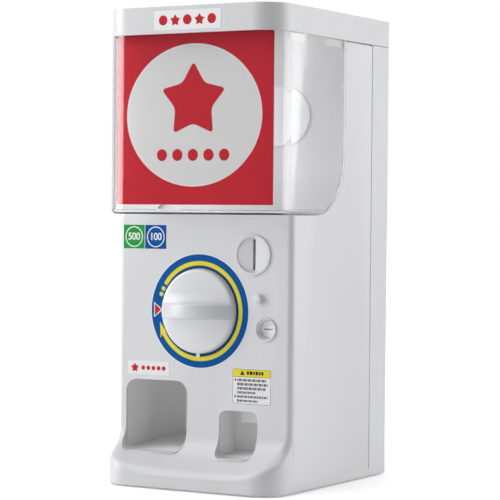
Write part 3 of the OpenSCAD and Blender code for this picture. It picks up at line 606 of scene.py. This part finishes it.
def refine(outline, step):
    """Adds points so that no side is longer than step."""
    out = []
    for i, start in enumerate(outline):
        a, b = Vector(start), Vector(outline[(i + 1) % len(outline)])
        pieces = max(1, int((b - a).length / step))
        out += [tuple(a.lerp(b, k / pieces)) for k in range(pieces)]
    return out


def bead(name, outline, radius, sides=12):
    """Rounded lip along a window's edge, let into the panel's surface."""
    points = refine(outline, 2 * MM)
    path = [Vector((x, FRONT + front_setback(z) + 0.6 * radius, z)) for x, z in points]
    rings = []
    for i, p in enumerate(path):
        along = (path[(i + 1) % len(path)] - path[i - 1]).normalized()
        outwards = along.cross(Vector((0, 1, 0))).normalized()
        forwards = outwards.cross(along).normalized()
        rings.append([p + radius * (cos(2 * pi * k / sides) * outwards + sin(2 * pi * k / sides) * forwards)
                      for k in range(sides)])
    loft(name, rings + [rings[0]], "case", caps=False, angle=60)


def cover_shell():
    """The clear cover, with a rounded bottom edge and its side walls cut to the curve of the tray."""
    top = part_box("clear_cover")[1].z
    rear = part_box("clear_cover")[1].y
    centre_y, centre_z = rear - TRAY_CURVE, COVER_LOW + TRAY_CURVE

    def reach(z):
        """How far back the side wall goes at a height."""
        curved = centre_y + sqrt(max(0.0, TRAY_CURVE ** 2 - (centre_z - z) ** 2))
        return (rear if z >= centre_z else curved) - EDGE_T

    outer, inner = [], []
    turns, levels = 8, 24
    for i in range(turns + 1):
        a = pi / 2 * i / turns
        outer.append((COVER_LOW + ROUND_R * (1 - cos(a)), ROUND_R * (1 - sin(a))))
        inner.append((COVER_LOW + SKIN_T + SKIN_T * (1 - cos(a)), SKIN_T + SKIN_T * (1 - sin(a))))
    for i in range(1, levels + 1):
        a = pi / 2 * i / levels
        z = centre_z - TRAY_CURVE * cos(a)
        if z > outer[turns][0] + 0.5 * MM:
            outer.append((z, 0.0))
            inner.append((z, SKIN_T))
    outer.append((top, 0.0))
    inner.append((top, SKIN_T))
    rings = []
    for (z0, g0), (z1, g1) in zip(outer, inner):
        a = [(x, y, z0) for x, y in u_path(g0, FRONT + g0, CORNER_R - g0, reach(z0))]
        b = [(x, y, z1) for x, y in u_path(g1, FRONT + g1, CORNER_R - g1, reach(z1))]
        rings.append(a + list(reversed(b)))
    count = len(rings[0])
    half = count // 2
    verts = [v for ring in rings for v in ring]
    faces = []
    for i in range(len(rings) - 1):
        for j in range(count):
            k = (j + 1) % count
            faces.append((i * count + j, i * count + k, (i + 1) * count + k, (i + 1) * count + j))
    last = (len(rings) - 1) * count
    beyond = last + count
    faces += [(last + j, last + j + 1, beyond - 2 - j, beyond - 1 - j) for j in range(half - 1)]
    ledge_x, ledge_y = HALF_W - LEDGE_IN, JOINT
    low_end, high_end = verts[0], verts[count - 1]
    base = len(verts)
    for end in (low_end, high_end):
        verts += [(ledge_x, end[1], end[2]), (ledge_x, ledge_y, end[2]), (-ledge_x, ledge_y, end[2]),
                  (-ledge_x, end[1], end[2])]
    faces.append(tuple(range(half)) + (base, base + 1, base + 2, base + 3))
    faces.append(tuple(range(count - 1, half - 1, -1)) + (base + 4, base + 5, base + 6, base + 7))
    faces += [(base + k, base + k + 1, base + k + 5, base + k + 4) for k in range(3)]
    faces += [(half - 1, base, base + 4, half), (base + 3, 0, count - 1, base + 7)]
    piece = solid("cover_shell", verts, faces, "clear")
    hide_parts("clear_cover")
    cover_edges(centre_y, centre_z, rear, top)


def cover_edges(centre_y, centre_z, rear, top):
    """The cut edges of the cover's side walls, drawn as opaque near-white strips that are a painted
    highlight, with a shadow gap before and behind each.
    """
    steps = 32
    radius = TRAY_CURVE - EDGE_T / 2
    inward, outward = -EDGE_T / 2 + 0.5 * MM, EDGE_T / 2 - 0.9 * MM
    strip = []
    for i in range(steps + 1):
        a = pi / 2 * i / steps
        strip.append((centre_y + radius * sin(a), centre_z - radius * cos(a), sin(a), -cos(a)))
    strip = [row for row in strip if row[1] > COVER_LOW + ROUND_R]
    strip.append((rear - EDGE_T / 2, top, 1.0, 0.0))
    section = ((HALF_W, inward), (HALF_W, outward), (HALF_W - SKIN_T, outward), (HALF_W - SKIN_T, inward))
    for side, name in ((-1, "cover_edge_left"), (1, "cover_edge_right")):
        rings = [[(side * x, y + k * ny, z + k * nz) for x, k in section] for y, z, ny, nz in strip]
        loft(name, rings, "edge")


def button_shell():
    """The return button: a short round pin with a domed end and a grip ring."""
    lo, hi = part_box("return_button")
    radius = (hi.z - lo.z) / 2
    cx, cz = (lo.x + hi.x) / 2, (lo.z + hi.z) / 2
    head = 6.0
    stem = 1.15 * MM
    # Each point is a share of the radius and a depth behind the end in millimetres
    profile = [(0.0, 0.35), (0.45, 0.12), (0.75, 0.3), (0.86, 0.8), (0.88, 1.5),
               (0.6, 1.7), (0.6, 2.6), (0.98, 2.8), (1.0, 3.2), (1.0, head)]
    rings = [circle_ring(cx, cz, max(0.02, part) * radius, lo.y + back * MM) for part, back in profile]
    rings += [circle_ring(cx, cz, stem, lo.y + head * MM), circle_ring(cx, cz, stem, hi.y)]
    piece = loft("button_pin", rings, "pin", "button", angle=40)
    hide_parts("return_button")


def circle_ring(cx, cz, radius, y, count=48):
    turns = [2 * pi * i / count for i in range(count)]
    return [(cx + radius * cos(a), y, cz + radius * sin(a)) for a in turns]


def draw_in(piece, gap):
    """Narrows a piece a little at both sides, so that it stands clear of the wall beside it."""
    side = max(abs(v.co.x) for v in piece.data.vertices)
    for v in piece.data.vertices:
        if abs(v.co.x) > side - 1 * MM:
            v.co.x -= gap if v.co.x > 0 else -gap


def groove(piece):
    """Cuts the shadow line along the seam into a side panel's shell."""
    groove_t, groove_w, over = 2.2 * MM, 1.9 * MM, 1 * MM
    for side in (-1, 1):
        x0, x1 = sorted((side * (HALF_W - groove_t), side * (HALF_W + over)))
        y0, y1 = SEAM - groove_w, SEAM + over
        corners = [(x0, y0), (x1, y0), (x1, y1), (x0, y1)]
        rings = [[(x, y, z) for x, y in corners] for z in (RIM_TOP + 0.5 * MM, high.z)]
        cut_away(piece, loft("groove_tool", rings, "case"))
    even_normals(piece)


def on_seam(point):
    """The outer edges at the seam between the front and rear housings, and under the lid."""
    near = 0.2 * MM
    return abs(point.x) > HALF_W - near and point.z > RIM_TOP + near and point.y > JOINT + near


front_panel_skin()
cover_shell()
for side_node in ("side_left", "side_right"):
    groove(finish_node(side_node, "case", 0.45, 3, 40, on_seam))
finish_node("rear_housing", "case", 0.45, 3, 40, on_seam)
finish_node("foot_rim", "case", 0.9, 3, 40, lambda p: p.z < RIM_TOP - 2 * MM)
finish_node("lid", "case", 2.2, 5)
finish_node("blanking_cap", "cup", 1.8, 6)
finish_node("coin_bezel", "case", 0.3)
finish_node("button_collar", "case", 0.2)
button_shell()
finish_node("lock_bezel", "case", 0.3)
finish_node("lock_plug", "lock", 0.15)
finish_node("return_flap", "flap", 0.3)
finish_node("rubber_feet", "rubber", 0.6)
draw_in(finish_node("cover_pads", "foam", 0.7), 0.5 * MM)
finish_node("base_plate", "inner", 0.5)
finish_node("housing_screws", "steel", 0.3)

PLAIN = {
    "inner": "rotor_well rotor_floor capsule_baffle capsule_chute coin_chute coin_ramp coin_box",
    # The outlet and return cups take the paler cup colour: painted light.
    "cup": "outlet_cup return_cup",
    "hopper": "hopper_tray",
    "steel": "rotor_carrier rotor_spindle dial_shaft pawl_pin mech_frame button_spring lever_pin flap_pin "
             "lock_clip lock_cam cam_screw keeper_bracket frame_screws",
    "brass": "spindle_bush dial_bush rear_bush",
    "gear": "crown_gear drive_pinion ratchet_wheel agitator",
    "rotor": "capsule_rotor",
    "lever": "ratchet_pawl reject_lever",
    "ink_white": "ring_label name_label notice_label price_label display_card",
}
for mat_name, names in PLAIN.items():
    for node in names.split():
        mesh = frame["nodes"][node].data
        mesh.materials.clear()
        mesh.materials.append(M[mat_name])
        smooth(mesh)


# --------------------------------------------------------------------- dial

def dial_piece():
    """Domed dial: a scooped disc with a straight grip bar across it."""
    lo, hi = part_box("dial_shaft")
    cx, cz = (lo.x + hi.x) / 2, (lo.z + hi.z) / 2
    d_lo, d_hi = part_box("dial_handle")
    radius = d_hi.z - cz
    back = d_hi.y
    proud = back - d_lo.y
    rim = 4.5 * MM
    grip = 7.0 * MM
    corner = 1.3 * MM

    def edge_fall(r):
        """How far the rounded rim drops at a distance from the axis."""
        edge = max(0.0, min(1.0, (radius - r) / (2.6 * MM)))
        return (1 - sqrt(max(0.0, 1 - (1 - edge) ** 2))) * 2.4 * MM

    def dish(x, z):
        """Height of the scooped disc; it hollows out beside the bar."""
        r = sqrt(x * x + z * z)
        hollow = 2.6 * MM * (1 - (r / radius) ** 2) * ease(abs(z), 0.9 * grip, 2.6 * grip)
        return rim + 5.2 * MM * (1 - (r / radius) ** 2) - hollow - edge_fall(r)

    def dome(x, z):
        r = sqrt(x * x + z * z)
        return rim + (proud - rim) * (1 - (r / radius) ** 2) - edge_fall(r)

    rows = []
    angles = 144
    steps = [0.02, 0.06, 0.1, 0.14] + [0.14 + 0.80 * i / 44 for i in range(1, 45)]
    steps += [0.95, 0.96, 0.97, 0.98, 0.988, 0.994, 0.998, 1.0]
    for part in steps:
        ring = []
        for j in range(angles):
            a = 2 * pi * j / angles
            x, z = radius * part * cos(a), radius * part * sin(a)
            ring.append((cx + x, back - dish(x, z), cz + z))
        rows.append(ring)
    rows.append(circle_ring(cx, cz, radius, back, angles))
    disc = loft("dial_disc", rows, "dial", "dial", angle=60)
    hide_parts("dial_handle")

    bars = []
    reach = radius - 0.8 * MM
    sections = 96
    for i in range(sections + 1):
        x = -reach * cos(pi * i / sections)
        half = min(grip, sqrt(max(0.0, (radius - 0.5 * MM) ** 2 - x * x)))
        turn = min(corner, 0.45 * half, 0.45 * max(0.2 * MM, dome(x, 0) - dish(x, 0)))
        section = [(-half, rim * 0.3), (-half, max(rim * 0.35, dome(x, half) - turn))]
        top = dome(x, half - turn)
        section += [(-half + turn * (1 - cos(t)), top - turn * (1 - sin(t)))
                    for t in (radians(a) for a in (15, 35, 55, 75, 90))]
        section += [(z * (half - turn), dome(x, z * (half - turn))) for z in (-0.5, 0.0)]
        section += [(-z, h) for z, h in reversed(section[:-1])]
        bars.append([(cx + x, back - h, cz + z) for z, h in section])
    loft("dial_grip", bars, "grip", "dial", angle=50)
    tip, root = cz - radius - 3.6 * MM, cz - radius + 2 * MM
    tip_w, root_w = 1.7 * MM, 1.9 * MM
    nub = rounded([(cx - tip_w, tip), (cx + tip_w, tip), (cx + root_w, root), (cx - root_w, root)], 0.8 * MM)
    front_prism("dial_pointer", nub, back - 1.2 * MM, 1.0 * MM, "dial", "dial")


dial_piece()


# -------------------------------------------------------------- ring label

def ring_print():
    """Blue ring with an arrow round the dial, two dots and a start mark."""
    cx, cz = (label_low.x + label_high.x) / 2, (label_low.z + label_high.z) / 2
    outer = (label_high.x - label_low.x) / 2
    shaft_low, shaft_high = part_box("dial_shaft")
    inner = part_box("dial_handle")[1].z - (shaft_low.z + shaft_high.z) / 2 + 0.35 * MM
    navy_r = 42.5 * MM
    navy_band = (42.2 * MM, 48.0 * MM)
    lime_band = (42.8 * MM, 47.2 * MM)
    yellow_band = (43.4 * MM, 46.6 * MM)
    start, end = 147.5, -150.0
    dot_r, dot_lime, dot_yellow = 45.0 * MM, 2.3 * MM, 1.5 * MM

    def ring(name, r1, r0, layer, mat):
        front_band(name, circle_points(cx, cz, r1, 160), circle_points(cx, cz, r0, 160),
                   film_y - layer * LAYER, LAYER, mat)

    def sector(band, a0, a1, steps=90):
        out = circle_points(cx, cz, band[1], steps, None, a0, a1 - a0, True)
        return out + circle_points(cx, cz, band[0], steps, None, a1, a0 - a1, True)

    def polar(r, a):
        return cx + r * cos(radians(a)), cz + r * sin(radians(a))

    def triangle(grow):
        tip, base, half = cx - (42.3 * MM - grow), cx - (49.9 * MM + 0.55 * grow), 6.1 * MM + grow
        return [(tip, cz), (base, cz + half), (base, cz - half)]

    def mark(name, outline, layer, mat):
        ink(name, outline, film_y, layer, mat)

    ring("ring_blue", outer - 0.9 * MM, inner, 1, "ink_blue")
    ring("ring_navy", navy_r, inner + 0.05 * MM, 2, "ink_navy")
    mark("arc_navy_edge", sector(navy_band, start + 0.8, end), 3, "ink_navy")
    mark("arc_lime", sector(lime_band, start, end), 4, "ink_lime")
    mark("arc_yellow", sector(yellow_band, start - 0.9, end), 5, "ink_yellow")
    head = [polar(45.2 * MM, 194.5), polar(50.4 * MM, 212), polar(47.2 * MM, 209.5),
            polar(47.2 * MM, 212.5), polar(43.0 * MM, 212.5), polar(42.6 * MM, 206)]
    mark("arrow_head", rounded(head, 0.7 * MM, 3), 6, "ink_yellow")
    for k, a in enumerate((153.2, 160.6)):
        x, z = polar(dot_r, a)
        mark("dot_lime_%d" % k, circle_points(x, z, dot_lime, 32), 4, "ink_lime")
        mark("dot_yellow_%d" % k, circle_points(x, z, dot_yellow, 32), 5, "ink_yellow")
    mark("marker_white", rounded(triangle(1.3 * MM), 0.6 * MM, 3), 4, "ink_white")
    mark("marker_red", rounded(triangle(-0.35 * MM), 0.3 * MM, 3), 5, "ink_red")


ring_print()


# ------------------------------------------------------------- other labels

def inset_rect(lo, hi, edge, r):
    """A label's outline, drawn in by edge."""
    return round_rect(lo.x + edge, hi.x - edge, lo.z + edge, hi.z - edge, r)


def card_print():
    """Red card with a pale disc, a star and a row of dots."""
    lo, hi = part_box("display_card")
    cx, cz = (lo.x + hi.x) / 2, lo.z + 0.52 * (hi.z - lo.z)
    rx, rz, rim = 73.6 * MM, 66.4 * MM, 1.6 * MM
    star_r, star_up, star_inner = 37 * MM, 13 * MM, 0.56
    dot_r, dot_gap, dot_down = 5.6 * MM, 17 * MM, 37 * MM

    def mark(name, outline, layer, mat):
        ink(name, outline, lo.y, layer, mat)

    mark("card_red", inset_rect(lo, hi, 0.25 * MM, 0.6 * MM), 1, "ink_card")
    mark("card_disc_edge", circle_points(cx, cz, rx, 128, rz), 2, "ink_pale")
    mark("card_disc", circle_points(cx, cz, rx - rim, 128, rz - rim), 3, "ink_grey")
    star = star_points(cx, cz + star_up, star_r, star_inner)
    mark("card_star", rounded(star, 5 * MM), 4, "ink_card")
    for k in range(5):
        x = cx + (k - 2) * dot_gap
        mark("card_bead_%d" % k, circle_points(x, cz - dot_down, dot_r, 40), 4, "ink_card")


def lid_print():
    """Plain label on the lid with stars and dots by turns; it stays behind the label's own front."""
    lo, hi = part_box("lid_label")
    cx, cz = (lo.x + hi.x) / 2, (lo.z + hi.z) / 2
    face = lo.y + LAYER
    film = LAYER * 0.5
    gap, dot_r, star_r, star_down = 13.2 * MM, 4.7 * MM, 5.9 * MM, 0.4 * MM
    outline = round_rect(lo.x, hi.x, lo.z, hi.z, 0.4 * MM)
    plate = front_prism("lid_plate", outline, face, hi.y - face, "ink_white", "lid")
    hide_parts("lid_label")
    for k in range(5):
        x = cx + (k - 2) * gap
        if k % 2:
            shape = rounded(star_points(x, cz - star_down, star_r, 0.55), 0.9 * MM, 3)
        else:
            shape = circle_points(x, cz, dot_r, 40)
        front_prism("lid_mark_%d" % k, shape, face - film, film, "ink_red", "lid")


def price_print():
    """Two coin values, each in a ring on its own colour."""
    lo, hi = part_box("price_label")
    cx, cz = (lo.x + hi.x) / 2, (lo.z + hi.z) / 2
    edge, parting = 0.5 * MM, 0.3 * MM
    ring_r, ring_inner, height = 9.9 * MM, 8.9 * MM, 9.6 * MM
    for name, x0, x1, mat, value in (("left", lo.x + edge, cx - parting, "ink_green", "500"),
                                     ("right", cx + parting, hi.x - edge, "ink_blue", "100")):
        field = round_rect(x0, x1, lo.z + edge, hi.z - edge, 0.5 * MM)
        ink("price_" + name, field, lo.y, 1, mat)
        mid = (x0 + x1) / 2
        outer, inner = (circle_points(mid, cz, r, 64) for r in (ring_r, ring_inner))
        front_band("price_ring_" + name, outer, inner, lo.y - 2 * LAYER, LAYER, "ink_white")
        number_shape("price_value_" + name, value, mid, cz, height, lo.y - 1.5 * LAYER,
                     "ink_white")


def name_print():
    """A star and a row of dots in place of a name."""
    lo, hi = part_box("name_label")
    cz = (lo.z + hi.z) / 2
    star_x, star_down, star_r = 8 * MM, 0.3 * MM, 4.8 * MM
    dot_x, dot_gap, dot_r = 17.5 * MM, 5.8 * MM, 2.1 * MM
    star = star_points(lo.x + star_x, cz - star_down, star_r, 0.55)
    ink("name_star", rounded(star, 0.8 * MM, 3), lo.y, 1, "ink_red")
    for k in range(5):
        x = lo.x + dot_x + k * dot_gap
        ink("name_bead_%d" % k, circle_points(x, cz, dot_r, 32), lo.y, 1, "ink_red")


def notice_print():
    """A notice with a yellow head and rows of plain bars in place of words."""
    lo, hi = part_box("notice_label")
    edge, line = 0.9 * MM, 0.35 * MM
    head = hi.z - 8.0 * MM
    inside = edge + line
    left, right = lo.x + inside, hi.x - inside

    def mark(name, outline, layer, mat):
        ink(name, outline, lo.y, layer, mat)

    front_band("notice_border", inset_rect(lo, hi, edge, 2.2 * MM), inset_rect(lo, hi, inside, 1.9 * MM),
               lo.y - LAYER, LAYER, "ink_black")
    mark("notice_head", round_rect(left, right, head, hi.z - inside, 1.6 * MM), 1, "ink_yellow")
    mark("notice_rule", round_rect(left, right, head - line, head, 0.1 * MM, 2), 1, "ink_black")
    foot, peak = head + 1.6 * MM, head + 6.0 * MM
    sign = [(lo.x + 9 * MM, foot), (lo.x + 14 * MM, foot), (lo.x + 11.5 * MM, peak)]
    mark("notice_sign", rounded(sign, 0.5 * MM, 3), 2, "ink_black")
    # Bars in the head: where each begins and ends, in millimetres from the left
    words = ((16.2, 18.6), (19.3, 22.4), (23.2, 24.8), (25.6, 28.4), (29.2, 31.0), (31.8, 34.0))
    low_z, high_z = head + 2.0 * MM, head + 5.2 * MM
    for k, (a, b) in enumerate(words):
        bar = round_rect(lo.x + a * MM, lo.x + b * MM, low_z, high_z, 0.4 * MM, 3)
        mark("notice_word_%d" % k, bar, 2, "ink_black")
    # Rows below: whether a row has a dot before it, and where it ends in millimetres
    rows = ((True, 38.5), (False, 39.5), (False, 37.0), (False, 26.0), (True, 39.0), (False, 29.0))
    first_row, row_gap, row_start, space = 3.2 * MM, 3.85 * MM, 6.0, 0.55
    for k, (marked, stop) in enumerate(rows):
        z = head - first_row - k * row_gap
        if marked:
            mark("notice_mark_%d" % k, circle_points(lo.x + 4.0 * MM, z, 0.95 * MM, 20), 1, "ink_black")
        x = row_start
        while x < stop - 1:
            run = min(stop - x, 1.7 + 0.8 * ((k * 5 + int(3 * x)) % 3))
            tall = 0.95 + 0.25 * ((k + int(2 * x)) % 2)
            glyph = round_rect(lo.x + x * MM, lo.x + (x + run - space) * MM, z - tall * MM, z + tall * MM,
                               0.2 * MM, 2)
            mark("notice_glyph_%d_%d" % (k, int(10 * x)), glyph, 1, "ink_text")
            x += run


card_print()
lid_print()
price_print()
name_print()
notice_print()


# ------------------------------------------------------------------- stage

LIT_POINT = (0, 0, 0.2)          # what the soft boxes face
LENS = 147.3                     # focal length in millimetres
CAMERA_TURN, CAMERA_RISE, CAMERA_ROLL = 30.35, 0.96, 0.50
CAMERA_PLACE = (1.00683, -1.60127, 0.25634)      # y is measured from the case's front


def floor():
    """A wide pale floor that brightens to plain white away from the object; the brightening is painted
    light, a glow that only the camera sees.
    """
    size = 40.0
    shade_end, white_from, least = 0.10, 0.55, 0.30
    verts = [(-size, -size, 0), (size, -size, 0), (size, size, 0), (-size, size, 0)]
    mesh = bpy.data.meshes.new("floor")
    mesh.from_pydata(verts, [], [(0, 1, 2, 3)])
    piece = bpy.data.objects.new("floor", mesh)
    bpy.context.scene.collection.objects.link(piece)
    mat, shader = material("floor_pale", (0.90, 0.90, 0.90), 0.7)
    links = mat.node_tree.links
    path = add_node(mat, "ShaderNodeLightPath")
    place = add_node(mat, "ShaderNodeTexCoord")
    reach = add_node(mat, "ShaderNodeVectorMath", operation="LENGTH")
    links.new(place.outputs["Object"], reach.inputs[0])
    fade = add_node(mat, "ShaderNodeMapRange")
    fade.inputs["From Min"].default_value = shade_end
    fade.inputs["From Max"].default_value = white_from
    fade.inputs["To Min"].default_value = least
    fade.inputs["To Max"].default_value = 1.0
    links.new(reach.outputs["Value"], fade.inputs["Value"])
    # Glow for camera rays only, weak near the object and full far from it: painted light.
    lift = add_node(mat, "ShaderNodeMath", operation="MULTIPLY")
    links.new(path.outputs["Is Camera Ray"], lift.inputs[0])
    links.new(fade.outputs["Result"], lift.inputs[1])
    shader.inputs["Emission Color"].default_value = (1, 1, 1, 1)
    links.new(lift.outputs["Value"], shader.inputs["Emission Strength"])
    mesh.materials.append(mat)


def area_light(name, azimuth, elevation, distance, width, height, power):
    """A soft box; azimuth is measured from the front, towards the object's right."""
    lamp = bpy.data.lights.new(name, "AREA")
    lamp.shape = "RECTANGLE"
    lamp.size, lamp.size_y = width, height
    lamp.energy = power
    piece = bpy.data.objects.new(name, lamp)
    bpy.context.scene.collection.objects.link(piece)
    a, e = radians(azimuth), radians(elevation)
    way = Vector((sin(a) * cos(e), -cos(a) * cos(e), sin(e)))
    piece.location = Vector(LIT_POINT) + way * distance
    piece.rotation_euler = way.to_track_quat("Z", "Y").to_euler()


def hopper_light(power):
    """Light that the white lid would scatter down into the hopper."""
    lo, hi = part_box("lid")
    behind_front, below_top = 75 * MM, 5 * MM
    lamp = bpy.data.lights.new("box_inside", "AREA")
    lamp.shape = "RECTANGLE"
    lamp.size, lamp.size_y = 150 * MM, 90 * MM
    lamp.energy = power
    piece = bpy.data.objects.new("box_inside", lamp)
    bpy.context.scene.collection.objects.link(piece)
    piece.location = (0, lo.y + behind_front, hi.z - below_top)
    piece.visible_camera = False
    piece.visible_glossy = False
    piece.visible_transmission = False


def world_light(front, back):
    """A dim room in front of the object and a bright backdrop behind it; the camera sees plain white."""
    world = bpy.data.worlds.new("studio")
    bpy.context.scene.world = world
    world.use_nodes = True
    tree = world.node_tree
    sky = tree.nodes["Background"]
    sky.inputs["Color"].default_value = (1, 1, 1, 1)
    place = tree.nodes.new("ShaderNodeTexCoord")
    split = tree.nodes.new("ShaderNodeSeparateXYZ")
    tree.links.new(place.outputs["Generated"], split.inputs["Vector"])
    around = tree.nodes.new("ShaderNodeMapRange")
    around.interpolation_type = "SMOOTHSTEP"
    dim_until, bright_from = -0.05, 0.65
    around.inputs["From Min"].default_value = dim_until
    around.inputs["From Max"].default_value = bright_from
    around.inputs["To Min"].default_value = front
    around.inputs["To Max"].default_value = back
    tree.links.new(split.outputs["Y"], around.inputs["Value"])
    path = tree.nodes.new("ShaderNodeLightPath")
    level = tree.nodes.new("ShaderNodeMath")
    level.operation = "MAXIMUM"
    tree.links.new(path.outputs["Is Camera Ray"], level.inputs[0])
    tree.links.new(around.outputs["Result"], level.inputs[1])
    tree.links.new(level.outputs["Value"], sky.inputs["Strength"])


def photo_camera():
    """Looks at the right-hand front corner with a long lens."""
    cam = bpy.data.cameras.new("camera")
    cam.sensor_width = 36
    cam.lens = LENS
    piece = bpy.data.objects.new("camera", cam)
    bpy.context.scene.collection.objects.link(piece)
    turn, rise, roll = radians(CAMERA_TURN), radians(CAMERA_RISE), radians(CAMERA_ROLL)
    back = Vector((sin(turn) * cos(rise), -cos(turn) * cos(rise), sin(rise)))
    level = Vector((cos(turn), sin(turn), 0))
    upright = back.cross(level)
    right = level * cos(roll) + upright * sin(roll)
    up = upright * cos(roll) - level * sin(roll)
    rotation = Matrix((right, up, back)).transposed()
    place = Vector(CAMERA_PLACE) + Vector((0, low.y, 0))
    piece.matrix_world = Matrix.Translation(place) @ rotation.to_4x4()
    bpy.context.scene.camera = piece


floor()
world_light(0.12, 0.85)
area_light("box_left", -60, 10, 1.9, 1.1, 1.8, 28)
area_light("box_high", -40, 50, 1.9, 1.5, 1.3, 10)
area_light("box_right", 126, 10, 1.9, 1.5, 2.0, 18)
area_light("box_top", 0, 84, 1.8, 1.6, 1.6, 9)
hopper_light(0.02)
photo_camera()
bpy.context.scene.view_settings.view_transform = "Standard"
